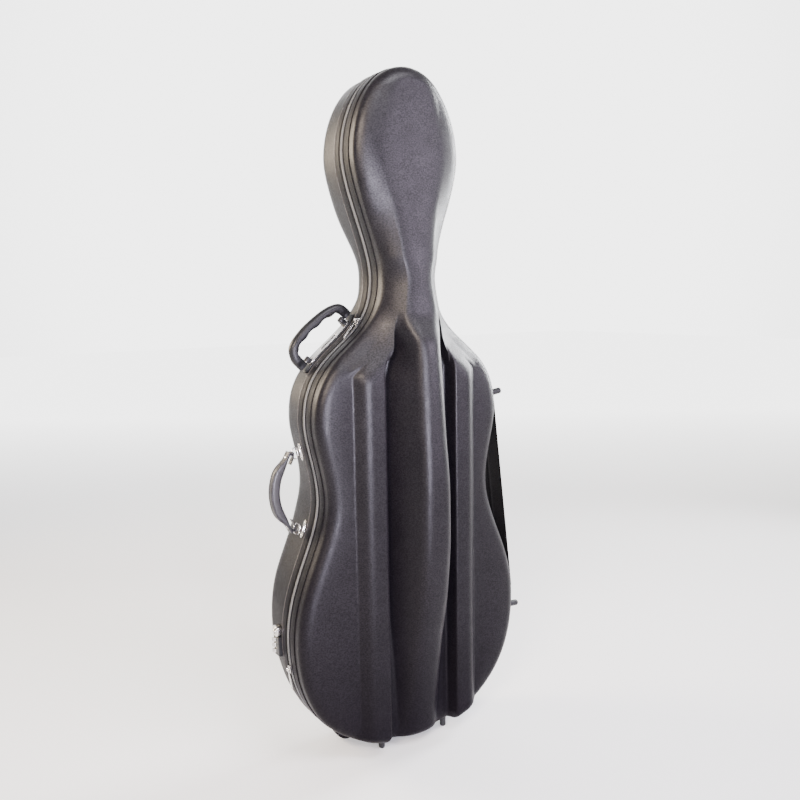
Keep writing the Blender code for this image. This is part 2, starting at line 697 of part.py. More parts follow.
def build_studs(rim, base, lid, materials, lid_axis):
    """Rubber studs: two on the right wall of each half, and two under the tail of the lid."""
    for word, half, side in (("base", base, 1), ("lid", lid, -1)):
        for place, z in zip(("lower", "upper"), SIDE_STUD_HEIGHTS):
            name = f"{word}_side_stud_{place}"
            middle = SEAT_GAP + SIDE_STUD_LENGTH / 2
            mesh = cylinder_mesh(name, STUD_RADIUS, SIDE_STUD_LENGTH, middle=(0, 0, middle), bevel=0.0012)
            stud = make_object(name, mesh, materials["rubber"], half.frame(rim.right(z), side * SIDE_STUD_Y))
            if side < 0:
                attach(stud, lid_axis)
    for word, x in (("left", -TAIL_STUD_X), ("right", TAIL_STUD_X)):
        name = "lid_tail_stud_" + word
        share = rim.end(x, 0.0, False)
        reach = (-STUD_RADIUS, 0.0, STUD_RADIUS)
        length = min(lid.place(rim.end(x + shift, 0.0, False))[1] for shift in reach) - SEAT_GAP
        mesh = cylinder_mesh(name, STUD_RADIUS, length, bevel=0.0012)
        place = Matrix.Translation((rim.point(share)[0], -TAIL_STUD_Y, length / 2))
        attach(make_object(name, mesh, materials["rubber"], place), lid_axis)


def build_feet(rim, base, materials):
    """Two padded feet under the base's tail, flat where they stand and shaped to the shell above."""
    low = base_wall_height(0.0)
    reach = BASE_CORNER + SEAT_GAP
    turns = [math.pi / 2 * step / ARC_STEPS for step in (0, 1, 1.75)]
    under = [(reach * math.cos(turn) - BASE_CORNER, low + reach * math.sin(turn)) for turn in turns]

    def profile(share):
        x, z = base.place(share)
        fall = -rim.normal(share)[1]
        rounding = ease(FOOT_OUTER_X - abs(x), 0.0, 0.045) * ease(abs(x) - FOOT_INNER_X, -0.002, 0.012)
        drop = FOOT_EDGE + (z / fall - FOOT_EDGE) * float(rounding)
        flat = [(drop, FOOT_START_Y), (drop, low + 0.3 * BASE_CORNER), (0.35 * drop, under[-1][1])]
        return [(SEAT_GAP, FOOT_START_Y)] + under + flat[::-1]

    for word, side in (("left", -1), ("right", 1)):
        first, last = rim.end(side * FOOT_INNER_X, 0, False), rim.end(side * FOOT_OUTER_X, 0, False)
        start, end = min(first, last), max(first, last)
        shares = base.span(start, end)
        fine = [a + (b - a) * part / 2 for a, b in zip(shares, shares[1:]) for part in range(2)] + [end]
        swept("base_foot_" + word, base, fine, profile, materials["shell"])


def build_grip(rim, base, materials):
    """The rubber grip on the left shoulder: pad, slotted plate, two lugs, two pins and the bow."""
    low, high = rim.left(GRIP_LOW_Z), rim.left(GRIP_HIGH_Z)
    ends = [rim.point(share, GRIP_AXIS_OUT) for share in (low, high)]
    lower, upper = (Vector((end[0], GRIP_Y, end[1])) for end in ends)
    along = (upper - lower).normalized()
    out = Vector((-along.z, 0, along.x))
    span = (upper - lower).length / 2
    frame = Matrix((along, (0, 1, 0), out)).transposed().to_4x4()
    frame.translation = (lower + upper) / 2
    axis = make_empty("grip_axis", frame)

    step = low - high
    seat = SEAT_GAP + GRIP_PAD_THICK
    edges = (GRIP_Y - GRIP_PAD_HALF, GRIP_Y + GRIP_PAD_HALF)
    pad = [(SEAT_GAP, edges[0]), (seat, edges[0]), (seat, edges[1]), (SEAT_GAP, edges[1])]
    reach = 0.10 * step
    swept("grip_pad", base, base.span(high - reach, low + reach), lambda share: pad, materials["rubber"])
    edges = (GRIP_Y - GRIP_PLATE_HALF, GRIP_Y + GRIP_PLATE_HALF)
    low_out, high_out = seat + SEAT_GAP, seat + SEAT_GAP + GRIP_PLATE_THICK
    strip = [(low_out, edges[0]), (high_out, edges[0]), (high_out, edges[1]), (low_out, edges[1])]
    shares = base.span(high + 0.19 * step, low - 0.19 * step)
    plate = swept("grip_plate", base, shares, lambda share: strip, materials["steel"])
    middle = (low + high) / 2
    slot = box_mesh("slot", (0.046, 0.0055, 0.03))
    slot.transform(base.frame(middle, GRIP_Y) @ Matrix.Translation((0, 0, low_out)))
    cut_or_join(plate, slot, "DIFFERENCE")
    under = [frame.inverted() @ Vector((x, GRIP_Y, z)) for x, z in
             (base.place(share, seat) for share in base.span(high - reach, low + reach)[::-1])]

    lug_middle = span - GRIP_RADIUS - GRIP_LUG_LENGTH / 2 - GRIP_PIN_STEP - 2 * SEAT_GAP
    for word, side in (("lower", -1), ("upper", 1)):
        centre = (side * lug_middle, 0, 0)
        barrel = cylinder_mesh("grip_lug_" + word, GRIP_LUG_RADIUS, GRIP_LUG_LENGTH, "X", centre, bevel=0.0008)
        lug = make_object("grip_lug_" + word, barrel, materials["rubber"], frame)
        reach = [side * lug_middle + part * GRIP_LUG_LENGTH / 2 for part in (-1, -0.5, 0, 0.5, 1)]
        foot = max(np.interp(reach, [spot.x for spot in under], [spot.z for spot in under])) + SEAT_GAP
        block = box_mesh("block", (0.8 * GRIP_LUG_LENGTH, 1.7 * GRIP_LUG_RADIUS, -foot),
                         (side * lug_middle, 0, foot / 2))
        cut_or_join(lug, block, "UNION")
        bore = cylinder_mesh("bore", GRIP_PIN_RADIUS + SEAT_GAP, 0.03, "X", centre)
        cut_or_join(lug, bore, "DIFFERENCE")
        length = GRIP_LUG_LENGTH + GRIP_PIN_STEP
        centre = (side * (lug_middle + GRIP_PIN_STEP / 2), 0, 0)
        pin = cylinder_mesh("grip_pin_" + word, GRIP_PIN_RADIUS, length, "X", centre)
        attach(make_object("grip_pin_" + word, pin, materials["steel"], frame), axis)

    rise = GRIP_RISE
    route = [(-span, 0, -GRIP_END), (-span, 0, 2 * GRIP_END), (-0.98 * span, 0, 0.52 * rise),
             (-0.80 * span, 0, 0.90 * rise), (-0.36 * span, 0, rise), (0.12 * span, 0, 0.94 * rise),
             (0.60 * span, 0, 0.78 * rise), (0.92 * span, 0, 0.52 * rise), (span, 0, 2 * GRIP_END),
             (span, 0, -GRIP_END)]
    path = smooth_path(route, 4)
    stations = []
    for i, place in enumerate(path):
        ahead = (path[min(i + 1, len(path) - 1)] - path[max(i - 1, 0)]).normalized()
        up = Vector((-ahead.z, 0, ahead.x))
        share = i / (len(path) - 1)
        held = float(ease(share, 0.18, 0.30) * (1 - ease(share, 0.70, 0.82)))
        dip = held * GRIP_DIP_DEPTH * (0.5 - 0.5 * math.cos(2 * math.pi * GRIP_DIPS * (share - 0.2) / 0.6))
        full = float(ease(place.z, GRIP_END, 4 * GRIP_END))
        width = GRIP_END_RADIUS + (GRIP_RADIUS - GRIP_END_RADIUS) * full
        stations.append((place + up * dip / 2, (0, width, 0), up * (GRIP_RADIUS - dip / 2)))
    attach(loft("grip", stations, materials["rubber"], frame), axis)
    return axis


def strap_ring(name, frame, z, materials, axis):
    """A D-shaped wire whose straight side turns in the eye of its plate."""
    half, reach = RING_LENGTH / 2, RING_REACH
    corner = 0.35 * reach
    route = [(-half + corner, 0), (half - corner, 0), (half, corner), (0.86 * half, 0.62 * reach),
             (0.45 * half, reach), (-0.45 * half, reach), (-0.86 * half, 0.62 * reach), (-half, corner)]
    data = bpy.data.curves.new(name, "CURVE")
    data.dimensions = "3D"
    data.bevel_depth = RING_WIRE
    data.bevel_resolution = 1
    spline = data.splines.new("POLY")
    spline.points.add(len(route) - 1)
    for point, (along, out) in zip(spline.points, route):
        point.co = (along, 0, out, 1)
    spline.use_cyclic_u = True
    curve = bpy.data.objects.new(name + "_curve", data)
    PARTS.objects.link(curve)
    bpy.context.view_layer.update()
    mesh = bpy.data.meshes.new_from_object(curve.evaluated_get(bpy.context.evaluated_depsgraph_get()))
    bpy.data.objects.remove(curve, do_unlink=True)
    place = frame @ Matrix.Translation((z, 0, 0))
    attach(make_object(name, mesh, materials["steel"], place), axis)


def build_strap(rim, base, materials):
    """The leather handle at the waist, between two rings on oval plates."""
    out = EYE_OUT
    ends = [base.place(rim.left(z), out) for z in (STRAP_LOW_Z, STRAP_HIGH_Z)]
    lower, upper = (Vector((end[0], STRAP_Y, end[1])) for end in ends)
    along = (upper - lower).normalized()
    outward = Vector((-along.z, 0, along.x))
    frame = Matrix((along, (0, 1, 0), outward)).transposed().to_4x4()
    frame.translation = (lower + upper) / 2
    axis = make_empty("strap_axis", frame)
    span = (upper - lower).length / 2
    for word, side, z in (("lower", -1, STRAP_LOW_Z), ("upper", 1, STRAP_HIGH_Z)):
        name = "strap_plate_" + word
        share = rim.left(z)
        wall = base.frame(share, STRAP_Y)
        body = bmesh.new()
        bmesh.ops.create_cone(body, cap_ends=True, segments=20, radius1=0.5, radius2=0.46, depth=1.0)
        bmesh.ops.scale(body, vec=(PLATE_LENGTH, PLATE_WIDTH, PLATE_THICK), verts=body.verts)
        bmesh.ops.translate(body, vec=(0, 0, SEAT_GAP + PLATE_THICK / 2), verts=body.verts)
        mesh = bpy.data.meshes.new(name)
        body.to_mesh(mesh)
        body.free()
        plate = make_object(name, mesh, materials["steel"], wall)
        to_wall = wall.inverted() @ frame @ Matrix.Translation((side * span, 0, 0))
        barrel = cylinder_mesh("barrel", EYE_RADIUS, EYE_LENGTH, "X")
        barrel.transform(to_wall)
        stem_height = (to_wall @ Vector((0, 0, 0))).z - SEAT_GAP - 0.0004
        stem = box_mesh("stem", (0.9 * EYE_LENGTH, 1.2 * EYE_RADIUS, stem_height),
                        (0, 0, SEAT_GAP + 0.0004 + stem_height / 2))
        cut_or_join(plate, stem, "UNION")
        cut_or_join(plate, barrel, "UNION")
        bore = cylinder_mesh("bore", RING_WIRE + 0.0003, 0.03, "X")
        bore.transform(to_wall)
        cut_or_join(plate, bore, "DIFFERENCE")
        strap_ring("strap_ring_" + word, frame, side * span, materials, axis)

    seat = RING_REACH + RING_WIRE + SEAT_GAP
    stem = span + STRAP_LAP
    rise = STRAP_RISE - STRAP_HALF_THICK
    route = [(-stem, 0, seat + STRAP_END_THICK), (-0.80 * span, 0, 0.56 * rise), (-0.45 * span, 0, 0.88 * rise),
             (0, 0, rise), (0.45 * span, 0, 0.88 * rise), (0.80 * span, 0, 0.56 * rise),
             (stem, 0, seat + STRAP_END_THICK)]
    path = smooth_path(route, 3)
    stations = []
    for i, place in enumerate(path):
        ahead = (path[min(i + 1, len(path) - 1)] - path[max(i - 1, 0)]).normalized()
        up = Vector((-ahead.z, 0, ahead.x))
        share = i / (len(path) - 1)
        full = float(ease(share, 0.10, 0.32) * (1 - ease(share, 0.68, 0.90)))
        thick = STRAP_END_THICK + (STRAP_HALF_THICK - STRAP_END_THICK) * full
        stations.append((place, (0, STRAP_HALF_WIDTH, 0), up * thick))
    attach(loft("strap_handle", stations, materials["leather"], frame), axis)
    for word, index in (("lower", 2), ("upper", len(path) - 3)):
        place, (_, width, _), up = stations[index]
        turn = Vector(up).normalized().to_track_quat("Z", "Y").to_matrix().to_4x4()
        turn.translation = Vector(place) + Vector(up) + Vector(up).normalized() * RIVET_THICK
        mesh = cylinder_mesh("strap_rivet_" + word, RIVET_RADIUS, RIVET_THICK, sides=12)
        attach(make_object("strap_rivet_" + word, mesh, materials["steel"], frame @ turn), axis)
    return axis


def build_lock(rim, base, materials):
    """The combination lock on the left wall: body, metal cap, release button and its number dials."""
    frame = base.frame(rim.left(LOCK_Z), LOCK_Y)
    middle = SEAT_GAP + LOCK_THICK / 2
    mesh = box_mesh("lock_body", (LOCK_LENGTH, LOCK_WIDTH, LOCK_THICK), (0, 0, middle), bevel=0.0015)
    body = make_object("lock_body", mesh, materials["lock"], frame)
    axes = []
    dial_y = LOCK_WIDTH / 2 - 0.4 * DIAL_RADIUS
    for i in range(DIAL_COUNT):
        along = (i - (DIAL_COUNT - 1) / 2) * DIAL_PITCH
        centre = (along, dial_y, DIAL_OUT)
        pocket = cylinder_mesh("pocket", DIAL_RADIUS + DIAL_GAP, DIAL_THICK + 2 * DIAL_GAP, "X", centre, 20)
        cut_or_join(body, pocket, "DIFFERENCE")
        place = frame @ Matrix.Translation(centre)
        axis = make_empty(f"dial_axis_{i + 1}", place)
        name = f"lock_dial_{i + 1}"
        dial = cylinder_mesh(name, DIAL_RADIUS, DIAL_THICK, "X", sides=20, bevel=0.0008)
        attach(make_object(name, dial, materials["steel"], place), axis)
        axes.append(axis)

    cap_middle = LOCK_LENGTH / 2 + SEAT_GAP + LOCK_CAP_LENGTH / 2
    height = LOCK_CAP_THICK
    cap_mesh = box_mesh("lock_cap", (LOCK_CAP_LENGTH, LOCK_WIDTH, height),
                        (cap_middle, 0, SEAT_GAP + 0.0003 + height / 2), bevel=0.0035, segments=2)
    cap = make_object("lock_cap", cap_mesh, materials["steel"], frame)
    top = SEAT_GAP + 0.0003 + height
    depth = LOCK_TRAVEL + 2 * SEAT_GAP + 0.0020
    well = cylinder_mesh("well", LOCK_BUTTON_RADIUS + 0.0004, 2 * depth, "Z", (cap_middle, 0, top))
    cut_or_join(cap, well, "DIFFERENCE")
    floor = top - depth + SEAT_GAP + LOCK_TRAVEL
    length = top + LOCK_BUTTON_RISE - floor
    button = cylinder_mesh("lock_button", LOCK_BUTTON_RADIUS, length, "Z",
                           (cap_middle, 0, floor + length / 2), bevel=0.0006)
    make_object("lock_button", button, materials["steel"], frame)
    return frame, axes


def build_sliders(rim, base, materials):
    """The two zip sliders, each with a pull that turns on the pin between its ears."""
    axes = []
    for word, z, turn in zip(("lower", "upper"), SLIDER_HEIGHTS, (1, 1)):
        frame = base.frame(rim.left(z), 0.0)
        seat = SEAT_GAP + CHAIN_THICK + SEAT_GAP
        mesh = box_mesh("zip_slider_" + word, (SLIDER_LENGTH, SLIDER_WIDTH, SLIDER_THICK),
                        (0, 0, seat + SLIDER_THICK / 2), bevel=0.0009)
        slider = make_object("zip_slider_" + word, mesh, materials["steel"], frame)
        pin_out = seat + SLIDER_THICK + SLIDER_EAR * 0.55
        ear_y = PULL_WIDTH / 4 + 0.0004 + SLIDER_EAR_THICK / 2
        for side in (-1, 1):
            ear = box_mesh("ear", (SLIDER_EAR, SLIDER_EAR_THICK, SLIDER_EAR + 0.001),
                           (0, side * ear_y, seat + SLIDER_THICK + SLIDER_EAR / 2 - 0.0005))
            cut_or_join(slider, ear, "UNION")
        pin = cylinder_mesh("pin", PULL_PIN_RADIUS, 2 * ear_y + SLIDER_EAR_THICK / 2, "Y", (0, 0, pin_out),
                            sides=10)
        cut_or_join(slider, pin, "UNION")
        place = frame @ Matrix.Translation((0, 0, pin_out))
        axis = make_empty("pull_axis_" + word, place)
        name = "zip_pull_" + word
        eye = cylinder_mesh(name, PULL_EYE, PULL_WIDTH / 2, "Y", sides=14)
        pull = make_object(name, eye, materials["steel"], place)
        neck = box_mesh("neck", (0.008, 0.4 * PULL_WIDTH, 0.8 * PULL_THICK), (-0.0050, 0, 0))
        blade = box_mesh("blade", (PULL_LENGTH - 0.008, PULL_WIDTH, PULL_THICK),
                         (-0.008 - (PULL_LENGTH - 0.008) / 2, 0, 0), bevel=0.0005)
        cut_or_join(pull, neck, "UNION")
        cut_or_join(pull, blade, "UNION")
        bore = cylinder_mesh("bore", PULL_PIN_RADIUS + 0.0003, 0.02, "Y", sides=10)
        cut_or_join(pull, bore, "DIFFERENCE")
        hole = cylinder_mesh("hole", PULL_HOLE, 0.02, "Z", (-PULL_LENGTH + 0.0045, 0, 0), sides=12)
        cut_or_join(pull, hole, "DIFFERENCE")
        attach(pull, axis)
        axes.append(axis)
    return axes


def build_pads(rim, lining, materials):
    """Foam pads that hold the bouts and the tail of the cello, on the base's lining."""
    deep = -(SHELL_WALL + LINING_GAP + LINING_WALL + SEAT_GAP)
    spans = {"tail_pad": (rim.end(-TAIL_PAD_HALF, 0.0, False), rim.end(TAIL_PAD_HALF, 0.0, False))}
    for word, (low, high) in (("lower", LOWER_PAD), ("upper", UPPER_PAD)):
        spans[word + "_pad_left"] = (rim.left(high), rim.left(low))
        spans[word + "_pad_right"] = (rim.right(low), rim.right(high))
    for name, (start, end) in spans.items():
        shares = lining.span(start, end)
        back = min([PAD_DEPTH] + [base_wall_height(rim.point(share)[1]) for share in shares])
        taper = 0.35 * PAD_THICK
        profile = [(deep, PAD_FRONT), (deep, back), (deep - PAD_THICK, back),
                   (deep - PAD_THICK, PAD_FRONT + taper), (deep - PAD_THICK + taper, PAD_FRONT)]
        swept(name, lining, shares, lambda share: profile, materials["foam"])


def build_cradle(rim, materials):
    """The block that carries the neck, with its slot, and the strap across it."""
    heights = (CRADLE_Z - CRADLE_LENGTH / 2, CRADLE_Z, CRADLE_Z + CRADLE_LENGTH / 2)
    inset = SHELL_WALL + LINING_GAP + LINING_WALL + SEAT_GAP + 0.0006
    half = min(rim.point(rim.right(z))[0] for z in heights) - inset
    depth = min(float(BASE_DEPTH_AT(z)) for z in heights) - inset
    corner = BASE_CORNER - inset
    arc = [(half - corner + corner * math.sin(turn), depth - corner + corner * math.cos(turn))
           for turn in (math.pi / 2 * step / 4 for step in range(5))]
    right = [(half, -CRADLE_RISE)] + [(x, y) for x, y in arc[::-1]]
    section = right + [(-x, y) for x, y in right[::-1]]
    points, faces = [], []
    for z in (heights[0], heights[-1]):
        points += [(x, y, z) for x, y in section]
    count = len(section)
    faces = [(i, (i + 1) % count, count + (i + 1) % count, count + i) for i in range(count)]
    faces += [tuple(range(count)), tuple(range(count, 2 * count))[::-1]]
    cradle = make_object("neck_cradle", mesh_from("neck_cradle", points, faces), materials["foam"])
    bottom = CRADLE_SLOT_DEPTH - CRADLE_RISE
    width = 2 * CRADLE_SLOT_HALF
    slot = cylinder_mesh("slot", CRADLE_SLOT_HALF, 2 * CRADLE_LENGTH, "Z",
                         (0, bottom - CRADLE_SLOT_HALF, CRADLE_Z), sides=20)
    mouth = box_mesh("mouth", (width, CRADLE_SLOT_DEPTH, 2 * CRADLE_LENGTH),
                     (0, bottom - CRADLE_SLOT_HALF - CRADLE_SLOT_DEPTH / 2, CRADLE_Z))
    cut_or_join(cradle, slot, "DIFFERENCE")
    cut_or_join(cradle, mouth, "DIFFERENCE")
    size = (2 * half - 0.006, NECK_STRAP_THICK, NECK_STRAP_WIDTH)
    place = (0, -CRADLE_RISE - SEAT_GAP - NECK_STRAP_THICK / 2, CRADLE_Z)
    make_object("neck_strap", box_mesh("neck_strap", size, place, bevel=0.0006), materials["strap"])


def lid_inside(rim, z):
    """Depth of the lid lining's face outside the ridge."""
    edge = rim.point(rim.right(z), -LID_CORNER)[0]
    full = lid_columns(z, edge)
    return min(lid_heights(rim, z, full)[3:]) - (SHELL_WALL + LINING_GAP + LINING_WALL)


def build_bow_holders(rim, lid_axis, materials):
    """For each bow a turning clip at its frog and a pocket for its tip, on the lid's lining."""
    axes = []
    for word, side in (("left", -1), ("right", 1)):
        depth = lid_inside(rim, BOW_CLIP_Z) - SEAT_GAP - 0.0003
        post = cylinder_mesh("bow_post_" + word, CLIP_RADIUS, CLIP_RISE, "Y",
                             (side * BOW_X, -depth + CLIP_RISE / 2, BOW_CLIP_Z), bevel=0.001)
        attach(make_object("bow_post_" + word, post, materials["plastic"]), lid_axis)
        top = -depth + CLIP_RISE + SEAT_GAP
        place = Matrix.Translation((side * BOW_X, top + CLIP_BAR_THICK / 2, BOW_CLIP_Z))
        axis = make_empty("clip_axis_" + word, place)
        attach(axis, lid_axis)
        bar = box_mesh("bow_clip_" + word, (CLIP_BAR_LENGTH, CLIP_BAR_THICK, CLIP_BAR_WIDTH), bevel=0.002)
        attach(make_object("bow_clip_" + word, bar, materials["plastic"], place), axis)
        axes.append(axis)
        depth = lid_inside(rim, BOW_POCKET_Z) - SEAT_GAP - 0.0003
        name = "bow_tip_pocket_" + word
        middle = (side * BOW_POCKET_X, -depth + POCKET_RADIUS, BOW_POCKET_Z)
        tube = cylinder_mesh(name, POCKET_RADIUS, POCKET_LENGTH, "Z", middle, sides=16)
        pocket = make_object(name, tube, materials["strap"])
        bore = cylinder_mesh("bore", POCKET_RADIUS - POCKET_WALL, POCKET_LENGTH, "Z",
                             (middle[0], middle[1], BOW_POCKET_Z - POCKET_WALL), sides=16)
        cut_or_join(pocket, bore, "DIFFERENCE")
        attach(pocket, lid_axis)
    return axes


def build_accessory_box(rim, materials):
    """The small box for rosin and strings in the head of the base, with its hinged cover."""
    heights = np.linspace(BOX_BOTTOM_Z, BOX_TOP_Z, 5)
    inset = SHELL_WALL + LINING_GAP + LINING_WALL + SEAT_GAP + 0.0004
    back = min(float(BASE_DEPTH_AT(z)) for z in heights) - inset
    height = BOX_TOP_Z - BOX_BOTTOM_Z
    half = rim.point(rim.right(BOX_BOTTOM_Z), -BASE_CORNER)[0] - BOX_WALL
    middle = (0, back - BOX_DEPTH / 2, (BOX_BOTTOM_Z + BOX_TOP_Z) / 2)
    body = make_object("accessory_box", box_mesh("accessory_box", (2 * half, BOX_DEPTH, height), middle,
                                                 bevel=0.002), materials["plastic"])
    hollow = box_mesh("hollow", (2 * (half - BOX_WALL), BOX_DEPTH, height - 2 * BOX_WALL),
                      (0, middle[1] - BOX_WALL, middle[2]))
    cut_or_join(body, hollow, "DIFFERENCE")
    front = back - BOX_DEPTH - SEAT_GAP
    axis = make_empty("box_lid_axis", Matrix.Translation((0, front - BOX_LID_THICK / 2, BOX_TOP_Z)))
    lid = box_mesh("accessory_lid", (2 * half, BOX_LID_THICK, height), (0, 0, -height / 2), bevel=0.001)
    attach(make_object("accessory_lid", lid, materials["plastic"], axis.matrix_world), axis)
    return axis


def build_materials():
    return {
        "shell": make_material("black_weave_shell", (0.030, 0.027, 0.031), 0.55),
        "lining": make_material("grey_plush", (0.10, 0.10, 0.11), 0.95),
        "binding": make_material("black_binding", (0.020, 0.020, 0.022), 0.6),
        "zip": make_material("black_zip", (0.012, 0.012, 0.013), 0.5),
        "rubber": make_material("black_rubber", (0.015, 0.015, 0.016), 0.45),
        "steel": make_material("nickel_steel", (0.62, 0.60, 0.57), 0.25, 1.0),
        "leather": make_material("black_leather", (0.020, 0.018, 0.020), 0.4),
        "lock": make_material("black_lock_plastic", (0.012, 0.012, 0.012), 0.35),
        "foam": make_material("plush_foam", (0.08, 0.08, 0.09), 0.95),
        "strap": make_material("black_webbing", (0.02, 0.02, 0.02), 0.8),
        "plastic": make_material("black_plastic", (0.02, 0.02, 0.021), 0.4),
    }


def build_case():
    materials = build_materials()
    rim = Rim()
    base = Half(rim, 1, BASE_CORNER, base_columns, base_heights, base_wall_height)
    lid = Half(rim, -1, LID_CORNER, lid_columns, lid_heights, lid_wall_height)
    root = make_empty("case", Matrix.Identity(4))
    bend, slope = hinge_line(rim, lid)
    lean = math.atan(slope)
    hinge = Matrix.Rotation(lean, 4, "Y")
    hinge.translation = (bend + slope * WAIST_Z, 0, WAIST_Z)
    lid_axis = make_empty("lid_axis", hinge)

    lining = build_shells(rim, base, lid, materials)
    for name in ("lid_shell", "lid_lining", "lid_binding", "lid_zip_tape"):
        attach(bpy.data.objects[name], lid_axis)
    build_hinge(rim, lid, lid_axis, materials)
    build_studs(rim, base, lid, materials, lid_axis)
    build_feet(rim, base, materials)
    build_grip(rim, base, materials)
    build_strap(rim, base, materials)
    build_lock(rim, base, materials)
    build_sliders(rim, base, materials)
    build_pads(rim, lining, materials)
    build_cradle(rim, materials)
    build_bow_holders(rim, lid_axis, materials)
    build_accessory_box(rim, materials)

    bpy.context.view_layer.update()
    pieces = [item for item in PARTS.objects if item.type == "MESH"]
    corners = np.array([item.matrix_world @ Vector(corner) for item in pieces for corner in item.bound_box])
    for item in list(PARTS.objects):
        if item.parent is None and item is not root:
            attach(item, root)
    middle = (corners.min(axis=0) + corners.max(axis=0)) / 2
    root.location = (-middle[0], -middle[1], 0)
    bpy.context.view_layer.update()


clear_scene()
PARTS = make_collection("cello_case")
CUTTERS = make_collection("cutters")
build_case()
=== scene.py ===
"""The looks of a hard cello case, dressed round its solids.

Metres, +Z up, the lid towards -Y, +X to the right as the lid is seen. Shapes are worked out in the case's
own frame, in which y = 0 is the plane where the two shells meet, and SHIFT moves them to the row frame.
"""

import json
import logging
import math
from collections.abc import Callable, Iterable, Sequence
from dataclasses import dataclass, field
from enum import Enum

import bmesh
import bpy
import numpy as np
from mathutils import Matrix, Vector

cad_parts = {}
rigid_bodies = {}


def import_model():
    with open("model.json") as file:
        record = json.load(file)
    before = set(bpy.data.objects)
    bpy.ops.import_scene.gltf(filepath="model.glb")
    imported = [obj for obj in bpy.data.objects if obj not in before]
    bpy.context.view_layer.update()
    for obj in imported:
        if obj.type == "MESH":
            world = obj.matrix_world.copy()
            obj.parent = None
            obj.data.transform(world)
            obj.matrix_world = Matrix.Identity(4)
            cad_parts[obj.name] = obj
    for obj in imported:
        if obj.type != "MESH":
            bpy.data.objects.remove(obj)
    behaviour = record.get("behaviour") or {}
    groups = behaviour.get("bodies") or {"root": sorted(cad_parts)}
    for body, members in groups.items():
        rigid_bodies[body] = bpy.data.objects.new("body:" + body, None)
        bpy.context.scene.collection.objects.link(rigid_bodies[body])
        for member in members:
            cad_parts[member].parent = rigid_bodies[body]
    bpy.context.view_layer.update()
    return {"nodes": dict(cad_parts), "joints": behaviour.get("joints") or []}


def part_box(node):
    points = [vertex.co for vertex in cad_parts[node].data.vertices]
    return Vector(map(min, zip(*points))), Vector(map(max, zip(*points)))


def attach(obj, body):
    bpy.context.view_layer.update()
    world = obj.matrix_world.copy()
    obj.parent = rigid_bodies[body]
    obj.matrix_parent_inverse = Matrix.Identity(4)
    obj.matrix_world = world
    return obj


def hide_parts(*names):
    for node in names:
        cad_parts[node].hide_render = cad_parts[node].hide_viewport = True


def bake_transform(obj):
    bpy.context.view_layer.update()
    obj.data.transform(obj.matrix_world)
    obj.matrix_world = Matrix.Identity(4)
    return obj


for leftover in list(bpy.data.objects):
    bpy.data.objects.remove(leftover, do_unlink=True)
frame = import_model()

log = logging.getLogger("cello_case")
Array = np.ndarray
Pair = tuple[float, float]
Triple = tuple[float, float, float]
Socket = bpy.types.NodeSocket
Made = tuple[Array, Iterable[Sequence[int]], Array]

EDGE_GAP = 0.0003
SHELL_WALL = 0.005
LINING_DEPTH = 0.0119
BINDING_START, BINDING_END = 0.0102, 0.028
SHARP_ANGLE = math.radians(40)


def _case_shift() -> Array:
    """How far the case's own frame stands from the row frame, read from two solids.

    Returns:
        The shift in metres.
    """
    strap_low, strap_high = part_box("neck_strap")
    _, tape_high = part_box("lid_zip_tape")
    return np.array([(strap_low.x + strap_high.x) / 2, tape_high.y + EDGE_GAP, 0.0])


SHIFT = _case_shift()
JOINTS = {joint["name"]: joint for joint in frame["joints"]}


class Sided(Enum):
    """One of a pair, with the sign of its side."""

    @property
    def side(self) -> int:
        """1 for the back, the right and the upper one, -1 for the other."""
        return 1 if self.value in ("base", "right", "upper") else -1


class HalfName(Sided):
    """The two halves of the case; the base is at the back."""

    BASE = "base"
    LID = "lid"


class Hand(Sided):
    """Left and right, as the lid is seen."""

    LEFT = "left"
    RIGHT = "right"


class Level(Sided):
    """The lower and the upper one of a pair."""

    LOWER = "lower"
    UPPER = "upper"


